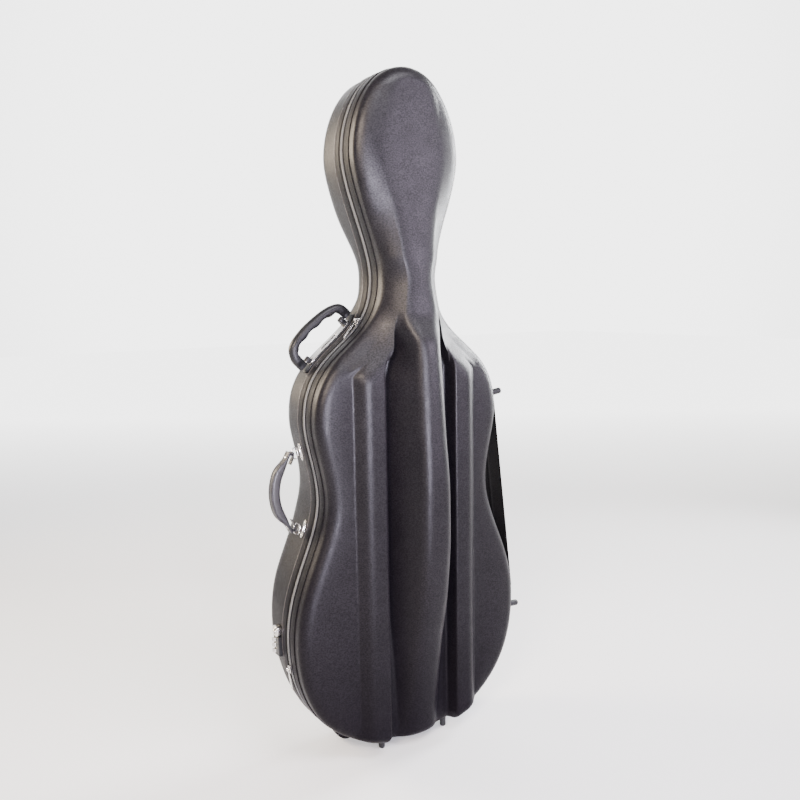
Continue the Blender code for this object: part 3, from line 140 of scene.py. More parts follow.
class Graph:
    """A material's nodes, with short calls for those that the finishes share."""

    def __init__(self, name: str) -> None:
        """Start a material with a Principled shader.

        Args:
            name: The material's name.
        """
        self.material = bpy.data.materials.new(name)
        self.material.use_nodes = True
        self.tree = self.material.node_tree
        self.shader = self.tree.nodes["Principled BSDF"]

    def add(self, kind: str, **inputs: object) -> bpy.types.Node:
        """Add a node.

        Args:
            kind: The node's type without its ShaderNode prefix.
            **inputs: Sockets or values for its inputs; a name's underscores stand for spaces.

        Returns:
            The node.
        """
        node = self.tree.nodes.new("ShaderNode" + kind)
        for key, value in inputs.items():
            self.feed(node.inputs[key.replace("_", " ")], value)
        return node

    def feed(self, socket: Socket, value: object) -> None:
        """Link a socket, or set it to a value.

        Args:
            socket: An input.
            value: A socket or a value.
        """
        if isinstance(value, Socket):
            self.tree.links.new(value, socket)
        else:
            socket.default_value = value

    def math(self, operation: str, *values: object) -> Socket:
        """The result of a Math node.

        Args:
            operation: The node's operation.
            *values: Sockets or numbers, in order.

        Returns:
            The result.
        """
        node = self.tree.nodes.new("ShaderNodeMath")
        node.operation = operation
        for socket, value in zip(node.inputs, values):
            self.feed(socket, value)
        return node.outputs[0]

    def noise(self, vector: Socket, scale: float, detail: float = 3.0) -> Socket:
        """The value of a noise texture."""
        return self.add("TexNoise", Vector=vector, Scale=scale, Detail=detail).outputs["Fac"]

    def spread(self, value: object, low: float, high: float, start: float = 0.3,
               end: float = 0.7) -> Socket:
        """A value moved from the range start..end to low..high."""
        node = self.add("MapRange", Value=value, From_Min=start, From_Max=end, To_Min=low, To_Max=high)
        return node.outputs[0]

    def blend(self, share: object, first: object, second: object,
              mode: str = "MIX") -> Socket:
        """A mix of two colours.

        Args:
            share: How much of the second.
            first: A socket or a colour.
            second: A socket or a colour.
            mode: The node's blend type.

        Returns:
            The mixed colour.
        """
        node = self.tree.nodes.new("ShaderNodeMix")
        node.data_type, node.blend_type = "RGBA", mode
        self.feed(node.inputs["Factor"], share)
        for socket, colour in ((node.inputs[6], first), (node.inputs[7], second)):
            self.feed(socket, colour if isinstance(colour, Socket) else (*colour, 1.0))
        return node.outputs[2]

    def bump(self, height: object, distance: float, strength: float,
             under: Socket | None = None) -> Socket:
        """The normal from a height in metres times distance.

        Args:
            height: A socket.
            distance: Metres for a height of 1.
            strength: Share that takes effect.
            under: A normal that it adds to.

        Returns:
            The normal.
        """
        node = self.add("Bump", Height=height, Distance=distance, Strength=strength)
        if under is not None:
            self.feed(node.inputs["Normal"], under)
        return node.outputs[0]

    def place(self) -> Socket:
        """Coordinates in the object's own metres."""
        return self.add("TexCoord").outputs["Object"]

    def cloth_place(self) -> Socket:
        """Coordinates along the cloth, in metres."""
        return self.add("TexCoord").outputs["UV"]

    def shine(self, **values: object) -> None:
        """Set the shader's own sockets; underscores in a name stand for spaces."""
        for key, value in values.items():
            self.feed(self.shader.inputs[key.replace("_", " ")], value)


def tint(colour: Sequence[float], share: float) -> Triple:
    """A colour made lighter or darker by a share."""
    return tuple(min(1.0, max(0.0, part * share)) for part in colour)


@dataclass(frozen=True)
class WovenFinish:
    """Woven cloth: crossed threads with sheen, faint streaks and darker specks; painted shade darkens the
    gaps between threads and dims the shine towards the bottom.
    """

    name: str
    colour: Triple
    thread: float = 0.0011
    depth: float = 0.00007
    roughness: float = 0.5
    sheen: float = 0.5
    sheen_colour: Triple = (0.75, 0.68, 0.82)
    sheen_roughness: float = 0.35
    specular: float = 0.5
    variation: float = 0.18
    speckle: float = 0.5
    # Painted shade: the shine falls to this share of itself below the span's lower height.
    dull_share: float = 0.1
    dull_span: Pair = (0.05, 0.85)

    def make(self) -> bpy.types.Material:
        """Build the material.

        Returns:
            The material.
        """
        g = Graph(self.name)
        across = g.add("SeparateXYZ", Vector=g.cloth_place())
        warp, weft = (g.math("SINE", g.math("MULTIPLY", across.outputs[i], math.pi / self.thread))
                      for i in (0, 1))
        warp_round, weft_round = g.math("ABSOLUTE", warp), g.math("ABSOLUTE", weft)
        over = g.math("GREATER_THAN", g.math("MULTIPLY", warp, weft), 0.0)
        first = g.math("MULTIPLY", warp_round, g.math("MULTIPLY_ADD", weft_round, 0.5, 0.5))
        second = g.math("MULTIPLY", weft_round, g.math("MULTIPLY_ADD", warp_round, 0.5, 0.5))
        height = g.add("Mix", Factor=over)
        g.feed(height.inputs[2], first)
        g.feed(height.inputs[3], second)
        threads = height.outputs[0]
        place = g.place()
        clouds = g.noise(place, 9.0, 4.0)
        fuzz = g.noise(place, 900.0, 2.0)
        body = g.blend(g.spread(clouds, 0.0, 1.0), tint(self.colour, 1 - self.variation),
                       tint(self.colour, 1 + self.variation))
        # Painted shade: the colour darkens in the gaps between the threads.
        body = g.blend(g.spread(threads, 0.35, 0.0, 0.0, 0.8), body, tint(self.colour, 0.35))
        nap = g.noise(g.add("Mapping", Vector=place, Scale=(330.0, 330.0, 520.0)).outputs[0], 1.0, 2.0)
        body = g.blend(g.spread(nap, self.speckle, 0.0, 0.35, 0.65), body, tint(self.colour, 0.25))
        g.shine(Base_Color=body, Roughness=g.spread(g.noise(place, 30.0), self.roughness - 0.05,
                                                    self.roughness + 0.07),
                Sheen_Weight=self.sheen, Sheen_Roughness=self.sheen_roughness,
                Sheen_Tint=(*self.sheen_colour, 1.0), Specular_IOR_Level=self.gloss(g, place, nap))
        loose = g.bump(nap, 0.00008, 0.30, g.bump(fuzz, 0.0001, 0.25))
        g.shine(Normal=g.bump(threads, self.depth, 0.6, loose))
        return g.material

    def gloss(self, g: Graph, place: Socket, nap: Socket) -> Socket:
        """How strongly the cloth shines: less towards the tail, as painted shade that darkens the lower part,
        and uneven.

        Args:
            g: The material's nodes.
            place: Coordinates in metres.
            nap: The cloth's uneven nap.

        Returns:
            The specular level.
        """
        height = g.add("SeparateXYZ", Vector=place).outputs[2]
        # Painted shade: less shine lower down, so that the lower part reads darker.
        level = g.spread(height, self.specular * self.dull_share, self.specular, *self.dull_span)
        return g.math("MULTIPLY", level, g.spread(nap, 0.70, 1.30, 0.35, 0.65))


@dataclass(frozen=True)
class PlushFinish:
    """Short plush: no weave, soft brushed patches and a strong sheen."""

    name: str
    colour: Triple
    sheen: float = 0.35

    def make(self) -> bpy.types.Material:
        """Build the material.

        Returns:
            The material.
        """
        g = Graph(self.name)
        place = g.place()
        brushed = g.noise(place, 16.0, 5.0)
        pile = g.noise(place, 1400.0, 2.0)
        body = g.blend(g.spread(brushed, 0.0, 1.0), tint(self.colour, 0.85), tint(self.colour, 1.15))
        body = g.blend(g.spread(pile, 0.4, 0.0), body, tint(self.colour, 0.45))
        g.shine(Base_Color=body, Roughness=0.95, Sheen_Weight=self.sheen, Sheen_Roughness=0.5,
                Sheen_Tint=(*tint(self.colour, 6.0), 1.0), Specular_IOR_Level=0.15)
        g.shine(Normal=g.bump(pile, 0.0012, 0.5, g.bump(brushed, 0.004, 0.3)))
        return g.material


@dataclass(frozen=True)
class MouldedFinish:
    """Rubber or plastic out of a mould: fine pitting, finger marks and dust."""

    name: str
    colour: Triple
    roughness: float = 0.45
    grain: float = 0.00006
    dust: float = 0.25
    specular: float = 0.3

    def make(self) -> bpy.types.Material:
        """Build the material.

        Returns:
            The material.
        """
        g = Graph(self.name)
        place = g.place()
        marks = g.noise(place, 45.0, 5.0)
        pits = g.noise(place, 2200.0, 2.0)
        body = g.blend(g.spread(marks, 0.0, self.dust, 0.45, 0.8), self.colour, tint(self.colour, 3.0))
        g.shine(Base_Color=body, Roughness=g.spread(marks, self.roughness - 0.08, self.roughness + 0.12),
                Specular_IOR_Level=self.specular)
        g.shine(Normal=g.bump(pits, self.grain, 0.6))
        return g.material


@dataclass(frozen=True)
class MetalFinish:
    """Bright plated metal with fine rubbing lines and a few dull spots."""

    name: str
    colour: Triple
    roughness: float = 0.18
    along: Triple = (40.0, 900.0, 40.0)

    def make(self) -> bpy.types.Material:
        """Build the material.

        Returns:
            The material.
        """
        g = Graph(self.name)
        place = g.place()
        stretched = g.add("Mapping", Vector=place, Scale=self.along).outputs[0]
        lines = g.noise(stretched, 1.0, 4.0)
        spots = g.noise(place, 120.0, 4.0)
        body = g.blend(g.spread(spots, 0.0, 0.5, 0.55, 0.8), self.colour, tint(self.colour, 0.6))
        g.shine(Base_Color=body, Metallic=1.0,
                Roughness=g.spread(spots, self.roughness - 0.06, self.roughness + 0.12))
        g.shine(Normal=g.bump(lines, 0.00004, 0.35))
        return g.material


@dataclass(frozen=True)
class LeatherFinish:
    """Smooth dyed leather: pebbled grain, creases and rubbed high spots."""

    name: str
    colour: Triple
    roughness: float = 0.38

    def make(self) -> bpy.types.Material:
        """Build the material.

        Returns:
            The material.
        """
        g = Graph(self.name)
        place = g.place()
        pebbles = g.add("TexVoronoi", Vector=place, Scale=700.0).outputs["Distance"]
        creases = g.noise(g.add("Mapping", Vector=place, Scale=(220.0, 60.0, 60.0)).outputs[0], 1.0, 5.0)
        body = g.blend(g.spread(creases, 0.0, 1.0, 0.35, 0.75), self.colour, tint(self.colour, 2.2))
        g.shine(Base_Color=body, Roughness=g.spread(pebbles, self.roughness - 0.08, self.roughness + 0.15,
                                                    0.0, 0.8), Coat_Weight=0.12, Coat_Roughness=0.3)
        g.shine(Normal=g.bump(pebbles, 0.00016, 0.5, g.bump(creases, 0.0005, 0.3)))
        return g.material


@dataclass(frozen=True)
class CoilFinish:
    """Nylon coil of the zip: dull bright turns, with painted shade darkening the roots between them."""

    name: str
    colour: Triple
    pitch: float = 0.0036

    def make(self) -> bpy.types.Material:
        """Build the material.

        Returns:
            The material.
        """
        g = Graph(self.name)
        along = g.add("SeparateXYZ", Vector=g.cloth_place())
        lean = g.math("MULTIPLY_ADD", along.outputs[0], 0.8, along.outputs[1])
        turns = g.math("ABSOLUTE", g.math("SINE", g.math("MULTIPLY", lean, math.pi / self.pitch)))
        # Painted shade: the colour falls to a fraction of itself between the turns.
        body = g.blend(g.spread(turns, 0.0, 1.0, 0.15, 0.8), tint(self.colour, 0.15), self.colour)
        g.shine(Base_Color=body, Roughness=0.32, Coat_Weight=0.2, Coat_Roughness=0.2)
        g.shine(Normal=g.bump(turns, 0.0006, 0.8, g.bump(g.noise(g.place(), 800.0), 0.0002, 0.3)))
        return g.material


@dataclass(frozen=True)
class FloorFinish:
    """A pale studio floor that glows with painted light, its emission growing towards its backdrop."""

    towards: Triple
    glow: float
    least: float
    name: str = "studio_floor"
    shade: float = 0.84

    def make(self) -> bpy.types.Material:
        """Build the material.

        Returns:
            The material.
        """
        g = Graph(self.name)
        away = g.tree.nodes.new("ShaderNodeVectorMath")
        away.operation = "DOT_PRODUCT"
        away.inputs[1].default_value = self.towards
        g.feed(away.inputs[0], g.place())
        # Painted light: the floor glows by its own emission, more and more towards the backdrop.
        g.shine(Base_Color=(self.shade, self.shade, self.shade, 1.0), Roughness=0.9,
                Specular_IOR_Level=0.1, Emission_Color=(1.0, 1.0, 1.0, 1.0),
                Emission_Strength=g.spread(away.outputs["Value"], self.least, self.glow, 1.0, 4.6))
        return g.material


@dataclass(frozen=True)
class Finishes:
    """Every finish on the case."""

    shell: WovenFinish = WovenFinish("black_satin_weave", (0.0068, 0.0056, 0.0076), roughness=0.39,
                                     sheen=0.02, specular=0.27)
    binding: WovenFinish = WovenFinish("ribbed_binding", (0.006, 0.0055, 0.006), thread=0.0016,
                                       depth=0.00012, roughness=0.42, sheen=0.05, specular=0.12)
    piping: WovenFinish = WovenFinish("glossy_piping", (0.075, 0.068, 0.062), thread=0.0012, depth=0.0001,
                                      roughness=0.28, sheen=0.2)
    tape: WovenFinish = WovenFinish("zip_tape", (0.004, 0.004, 0.005), thread=0.0009, roughness=0.6,
                                    sheen=0.03, specular=0.08)
    coil: CoilFinish = CoilFinish("nylon_coil", (0.10, 0.10, 0.105))
    lining: PlushFinish = PlushFinish("grey_plush", (0.036, 0.036, 0.041))
    foam: PlushFinish = PlushFinish("dark_plush_pads", (0.085, 0.083, 0.088))
    rubber: MouldedFinish = MouldedFinish("black_rubber", (0.007, 0.007, 0.008), 0.40)
    plastic: MouldedFinish = MouldedFinish("black_plastic", (0.018, 0.018, 0.020), 0.35, 0.00004, 0.15)
    lock: MouldedFinish = MouldedFinish("black_lock_case", (0.012, 0.012, 0.013), 0.3, 0.00003, 0.2)
    figures: MouldedFinish = MouldedFinish("dial_figures", (0.01, 0.01, 0.01), 0.5)
    steel: MetalFinish = MetalFinish("bright_nickel", (0.62, 0.60, 0.58))
    leather: LeatherFinish = LeatherFinish("black_leather", (0.009, 0.008, 0.0095))
    strap: WovenFinish = WovenFinish("black_webbing", (0.020, 0.020, 0.021), thread=0.0018, depth=0.0004,
                                     roughness=0.65, sheen=0.3)
    thread: WovenFinish = WovenFinish("waxed_thread", (0.06, 0.055, 0.055), thread=0.0005, roughness=0.5)


class Wardrobe:
    """The finishes as materials, each made once."""

    def __init__(self, finishes: Finishes) -> None:
        """Keep the finishes; a material is made when a piece first asks for it."""
        self.finishes = finishes
        self.made: dict[str, bpy.types.Material] = {}

    def __getitem__(self, name: str) -> bpy.types.Material:
        """The material of the finish with this name.

        Args:
            name: A field of Finishes.

        Returns:
            The material.
        """
        if name not in self.made:
            self.made[name] = getattr(self.finishes, name).make()
        return self.made[name]


def grid_faces(rows: int, columns: int, wrap_rows: bool = False, wrap_columns: bool = False) -> Array:
    """Quads of a grid of points stored row by row.

    Args:
        rows: Number of rows.
        columns: Points in a row.
        wrap_rows: Join the last row to the first.
        wrap_columns: Join the last column to the first.

    Returns:
        An array of four point numbers for each face.
    """
    j = np.arange(rows if wrap_rows else rows - 1)[:, None]
    k = np.arange(columns if wrap_columns else columns - 1)[None, :]
    after_j, after_k = (j + 1) % rows, (k + 1) % columns
    corners = [j * columns + k, j * columns + after_k, after_j * columns + after_k, after_j * columns + k]
    return np.stack([corner.reshape(-1) for corner in np.broadcast_arrays(*corners)], 1)


def make_piece(name: str, made: Made, material: bpy.types.Material, local: bool = True,
               solid: bool = True) -> bpy.types.Object:
    """Make one smooth-shaded mesh object.

    Args:
        name: The piece's name.
        made: Points, faces, and cloth coordinates in metres for each point.
        material: Its material.
        local: True if the points are in the case's own frame, False if in the row frame.
        solid: True for a closed mesh, whose faces are then turned outwards.

    Returns:
        The object.
    """
    points, faces, cloth = made
    mesh = bpy.data.meshes.new(name)
    moved = np.asarray(points, float) + (SHIFT if local else 0.0)
    mesh.from_pydata(moved.tolist(), [], [tuple(int(i) for i in face) for face in faces])
    layer = mesh.uv_layers.new(name="cloth")
    corners = np.zeros(len(mesh.loops), np.int32)
    mesh.loops.foreach_get("vertex_index", corners)
    layer.data.foreach_set("uv", np.asarray(cloth, np.float32)[corners].ravel())
    if solid:
        work = bmesh.new()
        work.from_mesh(mesh)
        bmesh.ops.recalc_face_normals(work, faces=work.faces)
        work.to_mesh(mesh)
        work.free()
    mesh.materials.append(material)
    mesh.shade_smooth()
    mesh.set_sharp_from_angle(angle=SHARP_ANGLE)
    piece = bpy.data.objects.new(name, mesh)
    bpy.context.scene.collection.objects.link(piece)
    return piece


def monotone(stations: Sequence[Pair]) -> Callable[[Array], Array]:
    """A smooth curve through stations that never overshoots them.

    Args:
        stations: Pairs of place and value, in order.

    Returns:
        A function that reads the curve at numbers or arrays.
    """
    xs, ys = (np.array(part, float) for part in zip(*stations))
    steps = np.diff(xs)
    slopes = np.diff(ys) / steps
    tangents = np.zeros_like(xs)
    inner = slopes[:-1] * slopes[1:] > 0
    weights = 1.0 / np.where(inner, slopes[:-1], 1.0) + 1.0 / np.where(inner, slopes[1:], 1.0)
    tangents[1:-1] = np.where(inner, 2.0 / np.where(weights == 0, 1.0, weights), 0.0)

    def read(x: Array) -> Array:
        """The curve's value at x.

        Args:
            x: Places along the curve.

        Returns:
            The values there.
        """
        x = np.clip(x, xs[0], xs[-1])
        i = np.clip(np.searchsorted(xs, x) - 1, 0, len(steps) - 1)
        t = (x - xs[i]) / steps[i]
        rise = (1 + 2 * t) * (1 - t) ** 2 * ys[i] + t * t * (3 - 2 * t) * ys[i + 1]
        return rise + steps[i] * (t * (1 - t) ** 2 * tangents[i] - t * t * (1 - t) * tangents[i + 1])

    return read


def ease(value: Array | float, start: float, end: float) -> Array:
    """0 before start, 1 after end, and smooth between them."""
    t = np.clip((np.asarray(value, float) - start) / (end - start), 0.0, 1.0)
    return t * t * (3 - 2 * t)


def rounded(points: Sequence[Sequence[float]], reach: float | Sequence[float], steps: int = 4,
            closed: bool = False, between: int = 2) -> Array:
    """A line whose corners are rounded, always with the same number of points.

    Args:
        points: Its corners.
        reach: How far a rounding reaches from its corner, at most; one for all or one for each point.
        steps: Steps in one rounding.
        closed: True for a loop.
        between: Extra points on each straight stretch.

    Returns:
        The points.
    """
    p = np.asarray(points, float)
    count = len(p)
    reaches = np.broadcast_to(reach, (count,))
    line: list[Array] = [] if closed else [p[:1]]
    t = np.linspace(0, 1, steps + 1)[:, None]
    for i in range(count) if closed else range(1, count - 1):
        before, corner, after = p[i - 1], p[i], p[(i + 1) % count]
        into, out = before - corner, after - corner
        first, second = max(np.linalg.norm(into), 1e-9), max(np.linalg.norm(out), 1e-9)
        a = corner + into / first * min(reaches[i], (0.8 if i == 1 and not closed else 0.48) * first)
        b = corner + out / second * min(reaches[i], 0.48 * second)
        arc = (1 - t) ** 2 * a + 2 * t * (1 - t) * corner + t * t * b
        if line:
            line.append(stretch(line[-1][-1], arc[0], between))
        line.append(arc)
    if closed:
        line.append(stretch(line[-1][-1], line[0][0], between))
    else:
        line += [stretch(line[-1][-1], p[-1], between), p[-1:]]
    return np.concatenate(line)


def stretch(start: Array, end: Array, between: int) -> Array:
    """Points evenly between two others, without them."""
    share = np.arange(1, between + 1)[:, None] / (between + 1)
    return start + (end - start) * share


def soft_least(first: Array, second: Array, reach: float) -> Array:
    """The smaller of two values, with a smooth passage where they cross."""
    share = np.clip(0.5 + 0.5 * (second - first) / reach, 0, 1)
    return second * (1 - share) + first * share - reach * share * (1 - share)


@dataclass
class Outline:
    """The outline at the plane between the shells: a closed curve in x and z, read by its share.

    Share 0 is the middle of the tail, and the share grows up the right side.
    """

    length: float = 1.35
    tail_lift: float = 0.014
    half_widths: tuple[float, ...] = (0.2605, 0.1885, 0.2122, 0.0604, 0.1178)
    height_shares: tuple[float, ...] = (0.19407, 0.39556, 0.50667, 0.70963, 0.88)
    below: tuple[float, ...] = (0.60, 0.31, 0.27, 0.53, 0.29)
    above: tuple[float, ...] = (0.42, 0.35, 0.565, 0.265, 0.415)
    tail_round: float = 0.68
    top_round: float = 0.66
    curve_points: int = 240
    share: Array = field(init=False)
    points: Array = field(init=False)
    normals: Array = field(init=False)
    around: float = field(init=False)

    def __post_init__(self) -> None:
        """Lay out the curve."""
        heights = [share * self.length for share in self.height_shares]
        ends = [(0.0, self.tail_lift), *zip(self.half_widths, heights), (0.0, self.length)]
        below, above = (0.0, *self.below, 0.0), (0.0, *self.above, 0.0)
        last = len(ends) - 2
        t = np.linspace(0, 1, self.curve_points, endpoint=False)[:, None]
        half = []
        for i in range(last + 1):
            start, end = np.array(ends[i]), np.array(ends[i + 1])
            rise = end[1] - start[1]
            first = start + ((self.tail_round * self.half_widths[0], 0) if i == 0 else (0, above[i] * rise))
            second = end + ((self.top_round * self.half_widths[-1], 0) if i == last
                            else (0, -below[i + 1] * rise))
            half.append((1 - t) ** 3 * start + 3 * t * (1 - t) ** 2 * first
                        + 3 * t * t * (1 - t) * second + t ** 3 * end)
        right = np.concatenate([*half, np.array([ends[-1]])])
        loop = np.concatenate([right, right[-2:0:-1] * (-1, 1), right[:1]])
        lengths = np.concatenate([[0], np.cumsum(np.hypot(*np.diff(loop, axis=0).T))])
        self.share, self.around, self.points = lengths / lengths[-1], float(lengths[-1]), loop
        along = np.gradient(loop[:-1], axis=0)
        along[0], along[-1] = loop[1] - loop[-2], loop[0] - loop[-3]
        normals = np.stack([along[:, 1], -along[:, 0]], 1)
        normals /= np.linalg.norm(normals, axis=1)[:, None]
        self.normals = np.concatenate([normals, normals[:1]])

    def normal(self, share: Array | float) -> Array:
        """The outward direction at this share.

        Args:
            share: Where along the outline.

        Returns:
            Unit vectors in x and z.
        """
        share = np.asarray(share, float) % 1.0
        n = np.stack([np.interp(share, self.share, self.normals[:, i]) for i in range(2)], -1)
        return n / np.linalg.norm(n, axis=-1, keepdims=True)

    def point(self, share: Array | float, out: Array | float = 0.0) -> Array:
        """The place at this share, moved outwards.

        Args:
            share: Where along the outline.
            out: How far outwards.

        Returns:
            Rows of x and z.
        """
        wrapped = np.asarray(share, float) % 1.0
        p = np.stack([np.interp(wrapped, self.share, self.points[:, i]) for i in range(2)], -1)
        return p + np.asarray(out, float)[..., None] * self.normal(wrapped)

    def right(self, z: Array | float) -> Array:
        """Share at which the right side reaches a height."""
        half = len(self.share) // 2 + 1
        return np.interp(z, self.points[:half, 1], self.share[:half])

    def left(self, z: Array | float) -> Array:
        """Share at which the left side reaches a height."""
        return 1.0 - self.right(z)

    def tail(self, x: float) -> float:
        """Share at which the tail's arc crosses x."""
        return float(np.interp(x, *self.tail_arc(0.0, 0.075)[:2]))

    def tail_arc(self, out: float, reach_z: float) -> tuple[Array, Array, Array]:
        """The tail's arc, moved outwards: x, share and height, with x growing.

        Args:
            out: How far outwards.
            reach_z: Height at which the arc ends.

        Returns:
            The three arrays.
        """
        reach = float(self.right(reach_z))
        shares = np.linspace(-reach, reach, self.curve_points)
        spots = self.point(shares, out)
        return spots[:, 0], shares, spots[:, 1]

    def head_arc(self, out: float, reach_z: float) -> tuple[Array, Array, Array]:
        """The head's arc, moved outwards: x, share and height, with x growing.

        Args:
            out: How far outwards.
            reach_z: Height at which the arc ends.

        Returns:
            The three arrays.
        """
        reach = float(self.right(reach_z))
        shares = np.linspace(1 - reach, reach, self.curve_points)
        spots = self.point(shares, out)
        return spots[:, 0], shares, spots[:, 1]

    def distance(self, x: Array, z: float) -> Array:
        """How far places at one height are from the outline."""
        gap = np.hypot(self.points[None, :, 0] - x[:, None], self.points[None, :, 1] - z)
        return gap.min(axis=1)

    def wrap(self, made: Made, share: float, y: float) -> Made:
        """Lay a flat shape on the wall.

        Args:
            made: A shape whose points give: distance along the wall towards a smaller share, distance
                to the back, and height over the wall.
            share: Where its middle lies.
            y: Its middle's place across the wall.

        Returns:
            Points in the case's own frame, faces and cloth coordinates.
        """
        flat, faces, _ = made
        spots = self.point(share - flat[:, 0] / self.around, flat[:, 2])
        points = np.stack([spots[:, 0], y + flat[:, 1], spots[:, 1]], 1)
        return points, faces, points[:, 1:]

    def band(self, half: HalfName, shares: Array, profile: Array, closed: bool = False) -> Made:
        """Carry one profile along the outline.

        Args:
            half: The half that it runs on.
            shares: Where along the outline.
            profile: Rows of distance outwards and distance from the plane between the halves, or one
                such profile for each share.
            closed: True if the last share meets the first.

        Returns:
            Points, faces and cloth coordinates.
        """
        profiles = np.broadcast_to(profile, (len(shares), *np.shape(profile)[-2:]))
        spots = self.point(shares[:, None], profiles[..., 0])
        points = np.stack([spots[..., 0], half.side * profiles[..., 1], spots[..., 1]], -1)
        run = np.concatenate([[0], np.cumsum(np.hypot(*np.diff(profiles[0], axis=0).T))])
        cloth = np.stack(np.broadcast_arrays(run[None, :], shares[:, None] * self.around), -1)
        count, last = profiles.shape[1], (len(shares) - 1) * profiles.shape[1]
        faces = [*grid_faces(len(shares), count, closed, True)]
        if not closed:
            faces += [range(count), range(last, last + count)]
        return points.reshape(-1, 3), faces, cloth.reshape(-1, 2)

    def seat(self, share: float, y: float, out: float = 0.0) -> Matrix:
        """A frame on the wall: Z outwards, Y to the back, X along the wall to a smaller share."""
        (x, z), (nx, nz) = self.point(share, out), self.normal(share)
        return Matrix(((nz, 0, nx, x), (0, 1, 0, y), (-nx, 0, nz, z), (0, 0, 0, 1)))


@dataclass
class Shell:
    """One half's skin: a dense, soft-cornered version of its faces, its rounded edge and its wall."""

    outline: Outline
    half: HalfName
    corner: float
    rows: int = 236
    arc_steps: int = 9
    low_z: float = 0.075
    high_z: float = 1.305
    end_fade: float = 0.16
    softness: float = 0.0055
    most_lean: float = 0.9

    def lean(self, face: Array) -> Array:
        """How steeply each row of the face falls where its rounded edge begins."""
        run = face[:, -1] - face[:, -2]
        return -run[:, 1] / run[:, 0]

    def corners(self, z: float, edge: float) -> tuple[Array, Array]:
        """Corners of the half section at a height: their x, and their depths."""
        raise NotImplementedError

    def wall_height(self, z: Array) -> Array:
        """Depth at which the rounded edge ends and the wall begins."""
        raise NotImplementedError

    def section(self, z: float, edge: float) -> Array:
        """The half section from the middle to the edge, as rows of x and depth."""
        return rounded(np.stack(self.corners(z, edge), 1), self.softness)

    def face(self) -> tuple[Array, Array]:
        """The half's face.

        Returns:
            Points as rows, columns, (x, depth, z), and cloth coordinates for each point.
        """
        zs = np.linspace(self.low_z, self.high_z, self.rows)
        edges = self.outline.point(self.outline.right(zs), -self.corner)
        tail_x, _, tail_z = self.outline.tail_arc(-self.corner, self.low_z)
        head_x, _, head_z = self.outline.head_arc(-self.corner, self.high_z)
        first, last = edges[0][1], edges[-1][1]
        rows, cloth = [], []
        for edge, z in edges:
            half = self.section(z, edge)
            run = np.concatenate([[0], np.cumsum(np.hypot(*np.diff(half, axis=0).T))])
            x = np.concatenate([-half[:0:-1, 0], half[:, 0]])
            depth = np.concatenate([half[:0:-1, 1], half[:, 1]])
            low = 1.0 - float(ease(z, first, first + self.end_fade))
            high = float(ease(z, last - self.end_fade, last))
            down, up = np.interp(x, tail_x, tail_z) - first, np.interp(x, head_x, head_z) - last
            rows.append(np.stack([x, depth, z + low * down + high * up], 1))
            cloth.append(np.stack([np.concatenate([-run[:0:-1], run]), rows[-1][:, 2]], 1))
        return np.array(rows), np.array(cloth)

    def loop_of(self, count: int) -> tuple[Array, Array]:
        """Rows and columns of the face's edge, as one loop, starting at the tail's left corner.

        Args:
            count: Columns of the face.

        Returns:
            The rows' and the columns' numbers.
        """
        top, width = self.rows - 1, count - 1
        sides = [(np.zeros(width, int), np.arange(width)), (np.arange(top), np.full(top, width)),
                 (np.full(width, top), np.arange(width, 0, -1)), (np.arange(top, 0, -1), np.zeros(top, int))]
        return np.concatenate([a for a, _ in sides]), np.concatenate([b for _, b in sides])

    def skin(self, inset: float, ends: Sequence[Pair]) -> tuple[Array, Array, Array]:
        """Points, faces and cloth coordinates of one skin.

        Args:
            inset: How far the skin lies inside the outside.
            ends: After the rounded edge, pairs of inset and y that it still passes.

        Returns:
            Points in the case's own frame, quads, and cloth coordinates.
        """
        face, cloth = self.face()
        count = face.shape[1]
        js, ks = self.loop_of(count)
        zs = np.linspace(self.low_z, self.high_z, self.rows)
        tail, head = (arc(-self.corner, z) for arc, z in ((self.outline.tail_arc, self.low_z),
                                                          (self.outline.head_arc, self.high_z)))
        shares = np.where(js == 0, np.interp(face[js, ks, 0], tail[0], tail[1]),
                          np.interp(face[js, ks, 0], head[0], head[1]))
        between = (js > 0) & (js < self.rows - 1)
        right = self.outline.right(zs[js])
        shares = np.where(between | (ks == 0) | (ks == count - 1), np.where(ks == 0, 1 - right, right),
                          shares)
        normals = self.outline.normal(shares)
        depth, z = face[js, ks, 1], face[js, ks, 2]
        low = self.wall_height(z)
        reach, rise = self.corner - inset, depth - inset - low
        lean = np.clip(self.lean(face)[js] * reach / rise, 0, self.most_lean)
        weight = np.cos((math.pi / 2 - np.arctan(lean * rise / reach)) / 2)
        stages = []
        for step in range(self.arc_steps):
            s = (step + 1) / self.arc_steps
            start, middle, end = (1 - s) ** 2, 2 * weight * s * (1 - s), s * s
            whole = start + middle + end
            stages.append((reach * (middle + end) / whole - self.corner,
                           low + rise * (start + middle * (1 - lean)) / whole))
        stages += [(np.full(len(js), -end), np.full(len(js), y)) for end, y in ends]
        points = [np.stack([face[..., 0], self.half.side * (face[..., 1] - inset), face[..., 2]], -1)
                  .reshape(-1, 3)]
        flat = [cloth.reshape(-1, 2)]
        before = np.stack([face[js, ks, 0], depth - inset, face[js, ks, 2]], 1)
        run, start = np.zeros(len(js)), cloth[js, ks]
        for out, rise in stages:
            spots = self.outline.point(shares, out)
            here = np.stack([spots[:, 0], rise, spots[:, 1]], 1)
            run = run + np.linalg.norm(here - before, axis=1)
            before = here
            points.append(here * (1, self.half.side, 1))
            flat.append(start + run[:, None] * normals)
        faces = [grid_faces(self.rows, count)]
        size = self.rows * count
        loop = js * count + ks
        for ring in range(len(stages)):
            here = size + ring * len(js) + np.arange(len(js))
            faces.append(np.stack([loop, np.roll(loop, -1), np.roll(here, -1), here], 1)[:, ::-1])
            loop = here
        return np.concatenate(points), np.concatenate(faces), np.concatenate(flat)


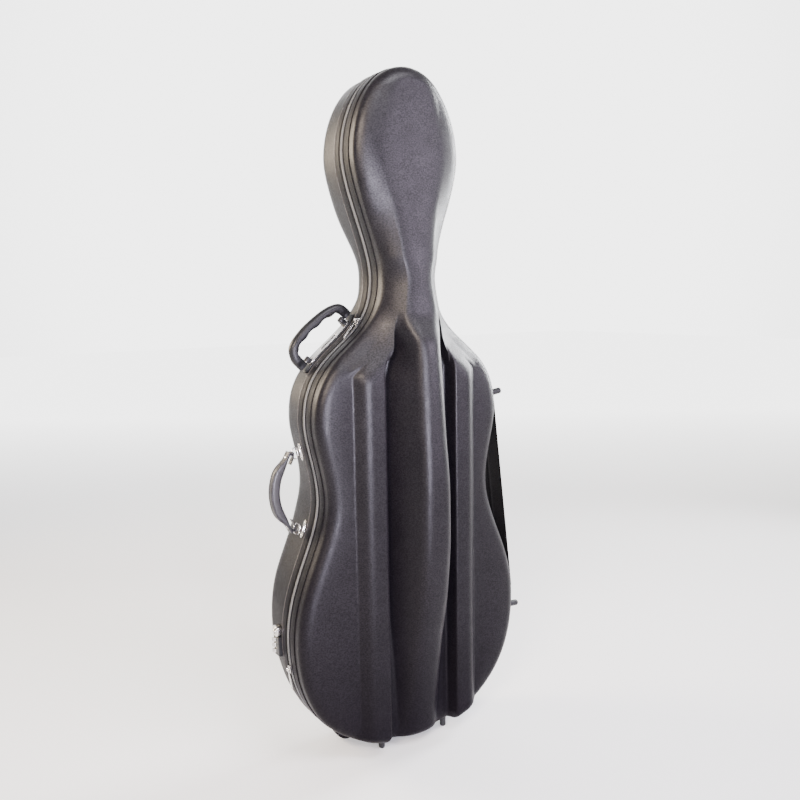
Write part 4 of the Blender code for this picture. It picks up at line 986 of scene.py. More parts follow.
@dataclass
class LidShell(Shell):
    """The lid: a tall ridge along its middle, a rib on each side and a sloping shoulder."""

    half: HalfName = HalfName.LID
    corner: float = 0.024
    depth: float = 0.064
    trough: float = 0.055
    rib: float = 0.086
    rib_lines: tuple[float, ...] = (0.076, 0.081, 0.120, 0.141)
    ridge_foot: tuple[Pair, ...] = ((0.05, 0.048), (0.34, 0.066), (1.35, 0.066))
    limits: tuple[float, ...] = (0.30, 0.42, 0.50, 0.75, 0.88)
    crown: float = 0.001
    shoulder_slope: float = 0.6
    shoulder: Pair = (0.815, 0.89)
    shoulder_lift: Pair = (0.765, 0.825)
    upper_z: float = 0.684
    fold: float = 0.007
    crest_soft: float = 0.018
    head_soft: float = 0.040
    head_pull: float = 0.30
    rib_soft: float = 0.013
    foot_soft: float = 0.004
    trough_sample: int = 20
    fall: float = 0.0032
    fall_reach: float = 0.034
    neck_bulge: float = 0.007
    neck_shares: tuple[float, ...] = (0.70, 0.77, 0.84, 0.90, 0.96)
    ridge: tuple[Triple, ...] = (
        (0.03, 0.030, 0.066), (0.12, 0.0265, 0.082), (0.23, 0.026, 0.109), (0.34, 0.027, 0.133),
        (0.45, 0.029, 0.142), (0.54, 0.028, 0.143), (0.66, 0.024, 0.135), (0.78, 0.022, 0.126),
        (0.83, 0.0245, 0.119), (0.89, 0.032, 0.0935), (0.95, 0.0255, 0.0875), (1.02, 0.045, 0.081),
        (1.09, 0.070, 0.074), (1.15, 0.086, 0.070), (1.30, 0.090, 0.066))

    def __post_init__(self) -> None:
        """Prepare the curves along the length."""
        self.half_at = monotone([(z, half) for z, half, _ in self.ridge])
        self.depth_at = monotone([(z, depth) for z, _, depth in self.ridge])
        self.foot_at = monotone(self.ridge_foot)

    def wall_height(self, z: Array) -> Array:
        """The lid's wall is as high all round."""
        return np.full(np.shape(z), self.depth - self.corner)

    def outlines(self, z: float, edge: float) -> tuple[Array, Array]:
        """Corners of the half section as the body has them, and as the neck and head have them.

        Args:
            z: The section's height.
            edge: Half the width inside the rounded edge.

        Returns:
            Rows of x and depth for each.
        """
        half = min(float(self.half_at(z)), 0.88 * edge)
        room, top = edge - half, float(self.depth_at(z))
        lines = (float(self.foot_at(z)), *self.rib_lines)
        ridge = [(0.0, top + self.crown), (half, top)]
        body = [(min(line, half + share * room), depth) for line, share, depth in
                zip(lines, self.limits, (self.trough, self.trough, self.rib, self.rib, self.depth))]
        start = half * (1 - self.head_pull * float(ease(z, 0.93, 1.10)))
        low = self.depth - self.corner
        slope = (top - low) * self.corner / (edge + self.corner - start)
        brim = max(self.depth, low + slope + self.neck_bulge)
        neck = [(start + (edge - start) * share, top + (brim - top) * share)
                for share in (*self.neck_shares, 1.0)]
        return (np.array([*ridge, *body, (edge, self.depth)]),
                np.array([ridge[0], (start, top), *neck]))

    def section(self, z: float, edge: float) -> Array:
        """The half section, with the ribs cut by the shoulder and all of it led over into the neck.

        Args:
            z: The section's height.
            edge: Half the width inside the rounded edge.

        Returns:
            Rows of x and depth.
        """
        crest = self.crest_soft + (self.head_soft - self.crest_soft) * float(ease(z, 0.90, 1.10))
        soft = [0.0, crest, self.softness, self.softness, self.softness, self.rib_soft, self.foot_soft, 0.0]
        body, neck = (rounded(line, soft, 6) for line in self.outlines(z, edge))
        if z > self.upper_z:
            rise = body[:, 1] - self.depth
            room = np.maximum(self.outline.distance(body[:, 0], z) - self.corner, 0)
            beside = np.arange(len(body)) >= self.trough_sample
            lift = float(ease(z, *self.shoulder_lift)) * (self.rib - self.depth)
            raised = np.where(rise > -0.001, np.maximum(rise, lift), rise)
            cut = soft_least(raised, self.shoulder_slope * room, self.fold)
            cut = np.where(raised > 0, np.maximum(cut, 0), raised)
            body[:, 1] = self.depth + np.where(beside, cut, rise)
        share = float(ease(z, *self.shoulder))
        line = (1 - share) * body + share * neck
        room = self.outline.distance(line[:, 0], z) - self.corner
        line[:, 1] -= self.fall * (1 - np.clip(room / self.fall_reach, 0, 1)) ** 2
        return line


@dataclass
class LidLining(LidShell):
    """The lid's lining: the inside of the ridge, and one even level beside it."""

    ease_in: float = 0.0015
    softness: float = 0.010
    rows: int = 120

    def section(self, z: float, edge: float) -> Array:
        """The half section of the lining.

        Args:
            z: The section's height.
            edge: Half the width inside the rounded edge.

        Returns:
            Rows of x and depth.
        """
        body, neck = self.outlines(z, edge)
        share = float(ease(z, *self.shoulder))
        mixed = (1 - share) * body + share * neck
        low = mixed[2:, 1].min()
        line = [(x, depth - self.ease_in) for x, depth in mixed[:2]] + [(mixed[2, 0], low), (edge, low)]
        return rounded(line, self.softness, between=3)


@dataclass
class BaseShell(Shell):
    """The base: a deep tray with two long skids on its back."""

    half: HalfName = HalfName.BASE
    corner: float = 0.040
    skid_height: float = 0.006
    skid_lines: tuple[float, ...] = (0.085, 0.090, 0.110, 0.115)
    skid_span: Pair = (0.15, 0.74)
    runout: float = 0.04
    depths: tuple[Pair, ...] = (
        (0.0, 0.081), (0.14, 0.081), (0.26, 0.108), (0.37, 0.1275), (0.47, 0.1275), (0.62, 0.100),
        (0.74, 0.105), (0.80, 0.105), (0.86, 0.094), (0.92, 0.076), (0.98, 0.076), (1.10, 0.104),
        (1.28, 0.107), (1.35, 0.098))

    def __post_init__(self) -> None:
        """Prepare the depth along the length."""
        self.depth_at = monotone(self.depths)

    def wall_height(self, z: Array) -> Array:
        """Depth where the base's rounded edge begins."""
        return self.depth_at(z) - self.corner

    def corners(self, z: float, edge: float) -> tuple[Array, Array]:
        """Corners of the half section with its skid.

        Args:
            z: The section's height.
            edge: Half the width inside the rounded edge.

        Returns:
            Their x, and their depths.
        """
        depth = float(self.depth_at(z))
        start, end = self.skid_span
        rise = self.skid_height * float(ease(z, start - self.runout, start)
                                        * (1 - ease(z, end, end + self.runout)))
        shares = (0.60, 0.66, 0.80, 0.86)
        xs = [0.0, 0.32 * edge, *(min(line, share * edge) for line, share in zip(self.skid_lines, shares)),
              edge]
        return np.array(xs), np.array([depth, depth, depth, depth + rise, depth + rise, depth, depth])


@dataclass
class BaseLining(BaseShell):
    """The base's lining, level from side to side."""

    rows: int = 120

    def corners(self, z: float, edge: float) -> tuple[Array, Array]:
        """Corners of the level half section."""
        depth = float(self.depth_at(z))
        return np.array([0.0, 0.32 * edge, 0.60 * edge, edge]), np.full(4, depth)


def loft(rings: Array, closed: bool = False) -> Made:
    """A skin over rings of points, capped at both ends unless it is closed.

    Args:
        rings: Rings, points of a ring, (x, y, z).
        closed: True if the last ring meets the first.

    Returns:
        Points, faces and cloth coordinates.
    """
    count, sides = rings.shape[:2]
    faces: list[Sequence[int]] = list(grid_faces(count, sides, closed, True))
    points = rings.reshape(-1, 3)
    middles = rings.mean(axis=1)
    along = np.concatenate([[0], np.cumsum(np.linalg.norm(np.diff(middles, axis=0), axis=1))])
    girth = np.linalg.norm(np.diff(rings[count // 2], axis=0, append=rings[count // 2][:1]), axis=1)
    around = np.concatenate([[0], np.cumsum(girth)[:-1]])
    cloth = np.stack(np.broadcast_arrays(around[None, :], along[:, None]), -1).reshape(-1, 2)
    if not closed:
        points = np.concatenate([points, middles[:1], middles[-1:]])
        cloth = np.concatenate([cloth, [[0, along[0]], [0, along[-1]]]])
        last, end = (count - 1) * sides, count * sides
        faces += [(end, (k + 1) % sides, k) for k in range(sides)]
        faces += [(end + 1, last + k, last + (k + 1) % sides) for k in range(sides)]
    return points, faces, cloth


def oval(sides: int, squareness: float = 1.0) -> Array:
    """A ring of unit half width and half height; squareness below 1 fills its corners.

    Args:
        sides: Points round it.
        squareness: Power of its cosine and sine.

    Returns:
        Rows of two coordinates.
    """
    turn = np.linspace(0, 2 * math.pi, sides, endpoint=False)
    c, s = np.cos(turn), np.sin(turn)
    return np.stack([np.sign(c) * np.abs(c) ** squareness, np.sign(s) * np.abs(s) ** squareness], 1)


def seated(made: Made, seat: Matrix) -> Made:
    """A made shape moved by a matrix.

    Args:
        made: Points, faces and cloth coordinates.
        seat: Where it goes.

    Returns:
        The moved shape.
    """
    points, faces, cloth = made
    m = np.array(seat)
    return points @ m[:3, :3].T + m[:3, 3], faces, cloth


def lathe(profile: Sequence[Pair], seat: Matrix, sides: int = 24) -> Made:
    """A profile of (radius, height), from one end of the axis to the other, turned about a seat's Z.

    Args:
        profile: The pairs.
        seat: Where the axis stands.
        sides: Points round it.

    Returns:
        Points, faces and cloth coordinates.
    """
    ring = oval(sides)
    rings = [[(radius * c, radius * s, height) for c, s in ring] for radius, height in profile]
    return seated(loft(np.array(rings)), seat)


def bar_across(section: Array, half: float, edge: float, size: float, middle: float = 0.0,
               foot: float = -math.inf) -> Made:
    """A bar along X whose section is a little smaller at both ends.

    Args:
        section: Rows of y and z.
        half: Half its length.
        edge: Length of the smaller part's slope.
        size: Share of the section that is left at the ends.
        middle: Place of its middle along X.
        foot: Height below which the section keeps its z.

    Returns:
        Points, faces and cloth coordinates.
    """
    stations = ((-half, size), (-half + edge, 1.0), (half - edge, 1.0), (half, size))
    return loft(np.array([[(middle + x, y * share, z * share if z > foot else z) for y, z in section]
                          for x, share in stations]))


def curve_through(points: Sequence[Sequence[float]], steps: int) -> Array:
    """Points along a Catmull-Rom curve through others.

    Args:
        points: What it passes.
        steps: Points on each stretch.

    Returns:
        The curve's points.
    """
    p = np.asarray(points, float)
    p = np.concatenate([[2 * p[0] - p[1]], p, [2 * p[-1] - p[-2]]])
    t = np.arange(steps)[:, None] / steps
    path = [0.5 * (2 * p[i] + (p[i + 1] - p[i - 1]) * t
                   + (2 * p[i - 1] - 5 * p[i] + 4 * p[i + 1] - p[i + 2]) * t * t
                   + (3 * p[i] - p[i - 1] - 3 * p[i + 1] + p[i + 2]) * t ** 3) for i in range(1, len(p) - 2)]
    return np.concatenate([*path, p[-2:-1]])


def in_plane(rows: Array, y: float = 0.0) -> Array:
    """Rows of x and z as points at one y."""
    return np.stack([rows[:, 0], np.full(len(rows), y), rows[:, 1]], 1)


def directions(path: Array, closed: bool = False) -> tuple[Array, Array]:
    """Unit directions ahead and to the left along a flat path.

    Args:
        path: Rows of two coordinates.
        closed: True for a loop.

    Returns:
        Both directions at each point.
    """
    ahead = np.roll(path, -1, 0) - np.roll(path, 1, 0) if closed else np.gradient(path, axis=0)
    ahead = ahead / np.linalg.norm(ahead, axis=1)[:, None]
    return ahead, np.stack([-ahead[:, 1], ahead[:, 0]], 1)


def plane_tube(path: Array, widths: Array | float, heights: Array | float, ring: Array,
               closed: bool = False) -> Array:
    """Rings round a path in the XZ plane.

    Args:
        path: Rows of x and z.
        widths: Half size along Y, one for all or one for each point.
        heights: Half size across the path, the same way.
        ring: A unit ring, whose second value points to the path's left.
        closed: True for a loop.

    Returns:
        Rings, points of a ring, (x, y, z).
    """
    wide, high = (np.broadcast_to(sizes, len(path))[:, None, None] for sizes in (widths, heights))
    up = in_plane(directions(path, closed)[1])
    across = np.array([0.0, 1.0, 0.0])
    return (in_plane(path)[:, None] + ring[None, :, :1] * wide * across
            + ring[None, :, 1:] * high * up[:, None])


def mesh_of(data: bpy.types.Curve) -> bpy.types.Mesh:
    """The mesh of a curve or a text, without keeping an object for it.

    Args:
        data: The curve or text.

    Returns:
        The mesh.
    """
    item = bpy.data.objects.new(data.name, data)
    bpy.context.scene.collection.objects.link(item)
    bpy.context.view_layer.update()
    mesh = bpy.data.meshes.new_from_object(item.evaluated_get(bpy.context.evaluated_depsgraph_get()))
    bpy.data.objects.remove(item, do_unlink=True)
    return mesh


def cut_plate(outline: Array, holes: Sequence[Array], thick: float, bevel: float, slices: float = 0.0,
              lift: Sequence[float] = (0.0, 0.0, 0.0)) -> Made:
    """A flat plate with holes and soft rims.

    Args:
        outline: Rows of x and y round its outside.
        holes: The same for each hole.
        thick: Its thickness; it stands on z = 0.
        bevel: Size of the rim's rounding.
        slices: Distance between extra cuts across x, so that it can bend; 0 for none.
        lift: How far it is moved once it is made.

    Returns:
        Points, faces and cloth coordinates.
    """
    data = bpy.data.curves.new("plate", "CURVE")
    data.dimensions, data.fill_mode, data.offset = "2D", "BOTH", -bevel
    data.extrude, data.bevel_depth, data.bevel_resolution = thick / 2 - bevel, bevel, 2
    for line in (outline, *holes):
        spline = data.splines.new("POLY")
        spline.points.add(len(line) - 1)
        for point, (x, y) in zip(spline.points, line):
            point.co = (x, y, 0, 1)
        spline.use_cyclic_u = True
    mesh = mesh_of(data)
    work = bmesh.new()
    work.from_mesh(mesh)
    bmesh.ops.remove_doubles(work, verts=work.verts, dist=1e-6)
    if slices:
        low, high = outline[:, 0].min(), outline[:, 0].max()
        for cut in np.arange(low + slices, high - slices / 2, slices):
            bmesh.ops.bisect_plane(work, geom=work.verts[:] + work.edges[:] + work.faces[:],
                                   plane_co=(cut, 0, 0), plane_no=(1, 0, 0))
    work.verts.index_update()
    points = np.array([tuple(vert.co) for vert in work.verts]) + (0, 0, thick / 2)
    faces = [tuple(vert.index for vert in face.verts) for face in work.faces]
    work.free()
    bpy.data.meshes.remove(mesh)
    points = points + lift
    return points, faces, points[:, :2]


def stitches(spots: Sequence[tuple[Vector, Vector, Vector]], length: float = 0.0028,
             radius: float = 0.00035) -> Made:
    """Short stitches as one mesh.

    Args:
        spots: Each stitch's middle, its direction, and the direction away from the cloth.
        length: Length of a stitch.
        radius: Half its thickness.

    Returns:
        Points, faces and cloth coordinates.
    """
    ring = oval(6)
    points, faces = [], []
    for place, way, up in spots:
        side = way.cross(up).normalized()
        start = len(points)
        for share, size in ((-0.5, 0.45), (-0.3, 1.0), (0.3, 1.0), (0.5, 0.45)):
            sink = up * (radius * 0.2 - 4 * radius * share * share * 0.6)
            points += [tuple(place + way * length * share + sink + (side * c + up * s) * radius * size)
                       for c, s in ring]
        faces += [tuple(face + start) for face in grid_faces(4, 6, False, True)]
        faces += [tuple(range(start, start + 6)), tuple(range(start + 18, start + 24))]
    return np.array(points), faces, np.array(points)[:, 1:]


def joint_frame(name: str) -> Matrix:
    """A joint's place in the case's own frame: X along its axis, Y to the back, Z outwards.

    Args:
        name: The joint's name.

    Returns:
        The frame.
    """
    joint = JOINTS[name]
    along, back = Vector(joint["axis"]).normalized(), Vector((0, 1, 0))
    seat = Matrix((along, back, along.cross(back))).transposed().to_4x4()
    seat.translation = Vector(joint["pos_m"]) - Vector(SHIFT)
    return seat


def solid_box(node: str) -> tuple[Vector, Vector, Vector, Vector]:
    """A solid's lowest and highest corner, its middle and its size, in the row frame."""
    low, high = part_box(node)
    return low, high, (low + high) / 2, high - low


def own_middle(node: str) -> Vector:
    """A solid's middle in the case's own frame."""
    return solid_box(node)[2] - Vector(SHIFT)


@dataclass
class SubAssembly:
    """What every sub-assembly has: the outline, the finishes, and the call that adds a piece."""

    outline: Outline
    wardrobe: Wardrobe

    def add(self, name: str, body: str, slot: str, made: Made, *nodes: str, finish: str = "",
            local: bool = True, solid: bool = True) -> bpy.types.Object:
        """Make a piece, let it ride on a body and stand for solids.

        Args:
            name: The piece's name.
            body: The body that it moves with.
            slot: Names the finish if no other is given.
            made: Points, faces and cloth coordinates.
            *nodes: Solids that it stands for.
            finish: Its finish.
            local: True if its points are in the case's own frame.
            solid: True for a closed mesh.

        Returns:
            The object.
        """
        piece = make_piece(name, made, self.wardrobe[finish or slot], local, solid)
        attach(piece, body)
        if nodes:
            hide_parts(*nodes)
        log.info("%s rides on %s", name, body)
        return piece

    def keep(self, node: str, finish: str) -> None:
        """Give a solid that stays in view its finish.

        Args:
            node: The solid's name.
            finish: Its finish.
        """
        solid = frame["nodes"][node]
        solid.data.materials.clear()
        solid.data.materials.append(self.wardrobe[finish])
        log.info("%s keeps its solid", node)


@dataclass
class Skins(SubAssembly):
    """The covered shells and their linings."""

    lip: float = SHELL_WALL + 0.0006

    def __post_init__(self) -> None:
        """Lay out the two shells."""
        self.lid, self.base = LidShell(self.outline), BaseShell(self.outline)

    def build(self) -> None:
        """Make both covers and both linings."""
        rim = (self.lip, EDGE_GAP)
        cover = [(0.0, BINDING_END), (0.0, BINDING_START), (0.0, EDGE_GAP), rim]
        lining = [(LINING_DEPTH, 0.0035), (LINING_DEPTH, 0.0020), (LINING_DEPTH - 0.0007, 0.0009),
                  (LINING_DEPTH - 0.002, EDGE_GAP), rim]
        for shell in (self.lid, self.base):
            self.skin(shell, "cover", "shell", 0.0, cover)
        for shell in (LidLining(self.outline), BaseLining(self.outline)):
            self.skin(shell, "plush_lining", "lining", LINING_DEPTH, lining)

    def skin(self, shell: Shell, word: str, slot: str, inset: float,
             ends: Sequence[Pair]) -> None:
        """Make one skin.

        Args:
            shell: The half's shape.
            word: The end of the piece's name.
            slot: Its finish, and the end of its solid's name.
            inset: How far inside the outside it lies.
            ends: Where its edge runs after the rounding.
        """
        points, faces, cloth = shell.skin(inset, ends)
        half = shell.half.value
        outwards = (shell.half is HalfName.LID) == (inset == 0.0)
        self.add(f"{half}_{word}", half, slot, (points, faces if outwards else faces[:, ::-1], cloth),
                 f"{half}_{slot}", solid=False)


@dataclass
class Edging(SubAssembly):
    """What runs round the rim of each half: binding, piping, zip tape and coil."""

    steps: int = 900
    binding_flat: float = 0.0014
    piping_radius: float = 0.0013
    piping_y: float = 0.0268
    tape_end: float = 0.0098
    tape_thick: float = 0.0010
    coil_half: float = 0.0040
    coil_thick: float = 0.0021
    coil_pitch: float = 0.0036
    turn_steps: int = 4
    hinge_span: Pair = (0.274, 0.700)

    def build(self) -> None:
        """Make the edging of both halves."""
        loop, chain = np.linspace(0, 1, self.steps, endpoint=False), self.zip_span(self.steps)
        for half in HalfName:
            name, welt = half.value, "piping" if half is HalfName.BASE else "binding"
            for word, slot, finish, shares, profile, closed, nodes in (
                    ("edge_binding", "binding", "binding", loop, self.binding(), True, (f"{name}_binding",)),
                    ("edge_piping", "binding", welt, loop, self.piping(half), True, ()),
                    ("zip_cloth_tape", "zip", "tape", chain, self.tape(), False, (f"{name}_zip_tape",)),
                    ("zip_coil", "zip", "coil", *self.coil(half), False, ())):
                made = self.outline.band(half, shares, profile, closed)
                self.add(f"{name}_{word}", name, slot, made, *nodes, finish=finish)

    def zip_span(self, steps: int) -> Array:
        """Shares from the top of the fabric hinge over the head and the left side to its bottom."""
        bottom, top = (float(self.outline.right(z)) for z in self.hinge_span)
        return np.linspace(top - 1.0, bottom, steps)

    def binding(self) -> Array:
        """The flat woven edging's profile, slightly crowned, its edges turned in.

        Returns:
            Rows of distance outwards and distance from the plane.
        """
        flat, start = self.binding_flat, BINDING_START
        end = self.piping_y - self.piping_radius * 0.4
        return rounded([(-0.0008, start), (flat, start), (flat + 0.0003, (start + end) / 2), (flat, end),
                        (-0.0008, end)], 0.0009)

    def piping(self, half: HalfName) -> Array:
        """The profile of the corded welt between the binding and the cover."""
        size = self.piping_radius * (1.0 if half is HalfName.BASE else 0.7)
        return oval(10) * size + (self.piping_radius * 0.55, self.piping_y)

    def tape(self) -> Array:
        """The profile of the woven tape that carries the coil."""
        thick, start, end = self.tape_thick, self.coil_half * 0.5, self.tape_end
        return rounded([(-0.0004, start), (thick, start), (thick, end), (-0.0004, end)], 0.0004)

    def coil(self, half: HalfName) -> tuple[Array, Array]:
        """The coil's turns, each a low bead that leans across the chain: shares and profiles.

        Args:
            half: The half that it runs on.

        Returns:
            The shares, and a profile for each.
        """
        span = self.zip_span(2)
        steps = int((span[1] - span[0]) * self.outline.around / self.coil_pitch) * self.turn_steps
        across = np.array([EDGE_GAP, EDGE_GAP + 0.0002, 0.0012, 0.0026, 0.0037, self.coil_half])
        height = np.array([0.0, 0.86, 1.0, 0.92, 0.62, 0.0]) * self.coil_thick
        lean = across / self.coil_half * 0.35 * half.side
        phase = np.arange(steps)[:, None] / self.turn_steps + lean[None, :]
        out = EDGE_GAP + height * (1.0 - 0.45 * (0.5 + 0.5 * np.cos(2 * math.pi * phase)))
        return self.zip_span(steps), np.stack([out, np.broadcast_to(across, out.shape)], -1)


@dataclass
class HingePanel(SubAssembly):
    """The cloth-covered panel on the right that carries the lid, with a crease at the slit."""

    across: int = 41
    up: int = 60
    edge: float = 0.0030
    thick: float = 0.0011
    fold_y: float = 0.010
    seams: Pair = (0.0045, 0.0290)
    stitch_step: float = 0.0042

    def build(self) -> None:
        """Make the panel as one piece of cloth, and its seams."""
        axis = JOINTS["lid_hinge"]
        low_base, high_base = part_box("base_hinge_panel")
        low_lid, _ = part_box("lid_hinge_panel")
        along = Vector(axis["axis"]).normalized()
        out = along.cross(Vector((0, -1, 0))).normalized()
        out = out if out.x > 0 else -out
        middle = Vector(axis["pos_m"])
        half = (high_base.z - low_base.z) / 2 / along.z * 0.998
        centre = middle + along * ((low_base.z + high_base.z) / 2 - middle.z) / along.z
        back, front = high_base.y - middle.y, low_lid.y - middle.y
        vs = np.linspace(-half, half, self.up)
        v_room = np.minimum(vs - vs[0], vs[-1] - vs)
        v_edge = np.sqrt(np.maximum(0.0, 1 - (1 - np.minimum(1.0, v_room / self.edge)) ** 2))
        rings = []
        for u in np.linspace(front, back, self.across):
            edge = min(u - front, back - u)
            shrink = 1 - math.sqrt(max(0.0, 1 - (1 - min(1.0, edge / self.edge)) ** 2))
            level = self.thick * (1 - 0.75 * shrink) - 0.0007 * math.exp(-(u / 0.0035) ** 2)
            top = level * (0.25 + 0.75 * v_edge)
            rings.append([centre + out * t + Vector((0, u, 0)) + along * v for t, v in zip(top, vs)]
                         + [centre - out * t * 0.9 + Vector((0, u, 0)) + along * v
                            for t, v in zip(top, vs)][::-1])
        points, faces, _ = loft(np.array(rings))
        piece = make_piece("hinge_cloth_panel", (points, faces, points[:, 1:]), self.wardrobe["binding"],
                           local=False)
        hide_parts("base_hinge_panel", "lid_hinge_panel")
        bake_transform(piece)
        log.info("hinge_cloth_panel bends between base and lid")
        for name, edge in (("lid", front), ("base", back)):
            steps = np.arange(-half + 0.006, half - 0.006, self.stitch_step)
            spots = [(centre + Vector((0, edge - math.copysign(inset, edge), 0)) + along * v + out * 0.00112,
                      along, out) for inset in self.seams for v in steps]
            self.add(f"{name}_hinge_stitches", name, "binding", stitches(spots), finish="thread", local=False)


@dataclass
class Bumpers(SubAssembly):
    """Rubber studs on the right wall and under the tail of the lid."""

    radius: float = 0.007
    length: float = 0.026
    side_y: float = 0.0355
    heights: Pair = (0.232, 0.713)

    def build(self) -> None:
        """Make the six studs."""
        for half in HalfName:
            for level, z in zip(Level, self.heights):
                seat = self.outline.seat(float(self.outline.right(z)), half.side * self.side_y)
                self.stud(f"{half.value}_side_stud_{level.value}", half, seat, -0.003, self.length + EDGE_GAP)
        for hand in Hand:
            node = f"lid_tail_stud_{hand.value}"
            half_height = solid_box(node)[3].z / 2
            seat = Matrix.Translation(own_middle(node)) @ Matrix.Rotation(math.pi, 4, "X")
            self.stud(node, HalfName.LID, seat, -half_height - 0.006, half_height)

    def stud(self, node: str, half: HalfName, seat: Matrix, start: float, end: float) -> None:
        """Make one stud from its foot to its domed tip, with a collar and a waist, for its solid.

        Args:
            node: The solid that it stands for.
            half: The half that it sits on.
            seat: Its Z is the stud's axis.
            start: Height of the foot.
            end: Height of the tip.
        """
        collar = [(1.05, start), (1.05, start + 0.0035), (0.99, start + 0.0045), (0.93, start + 0.0052),
                  (0.92, start + 0.0075), (0.94, (start + end) / 2)]
        tip = [(0.94, end - 0.0042), (0.92, end - 0.0022), (0.80, end - 0.0008), (0.55, end - 0.0001),
               (0.2, end)]
        profile = [(self.radius * share, height) for share, height in collar + tip]
        self.add(f"{node}_rubber", half.value, "rubber", lathe(profile, seat, 32), node)


@dataclass
class Feet(SubAssembly):
    """Two padded feet under the base's tail, covered like the shell."""

    base: BaseShell
    inner_x: float = 0.072
    outer_x: float = 0.163
    start_y: float = 0.029
    edge: float = 0.003
    steps: int = 48

    def build(self) -> None:
        """Make both feet."""
        low, reach = float(self.base.wall_height(0.0)), self.base.corner
        turns, inside = np.linspace(0, math.pi / 2 * 1.75 / 3, 7), reach - 0.0006
        under = np.stack([inside * np.cos(turns) - reach, low + inside * np.sin(turns)], 1)
        for hand in Hand:
            spots = [self.outline.tail(hand.side * x) for x in (self.inner_x, self.outer_x)]
            shares = np.linspace(min(spots), max(spots), self.steps)
            profiles = []
            for share in shares:
                x, z = self.outline.point(share)
                fall = -self.outline.normal(share)[1]
                rounding = float(ease(self.outer_x - abs(x), 0.0, 0.055)
                                 * ease(abs(x) - self.inner_x, -0.002, 0.012))
                drop = self.edge + (z / fall - self.edge) * rounding
                side = rounded([under[-1], (0.35 * drop, under[-1][1]), (drop, low + 0.3 * reach),
                                (drop, self.start_y), (0.0, self.start_y)], 0.007, 5)
                profiles.append(np.concatenate([under, side[1:]]))
            self.add(f"base_foot_{hand.value}_cover", "base", "shell",
                     self.outline.band(HalfName.BASE, shares, np.array(profiles)), f"base_foot_{hand.value}")


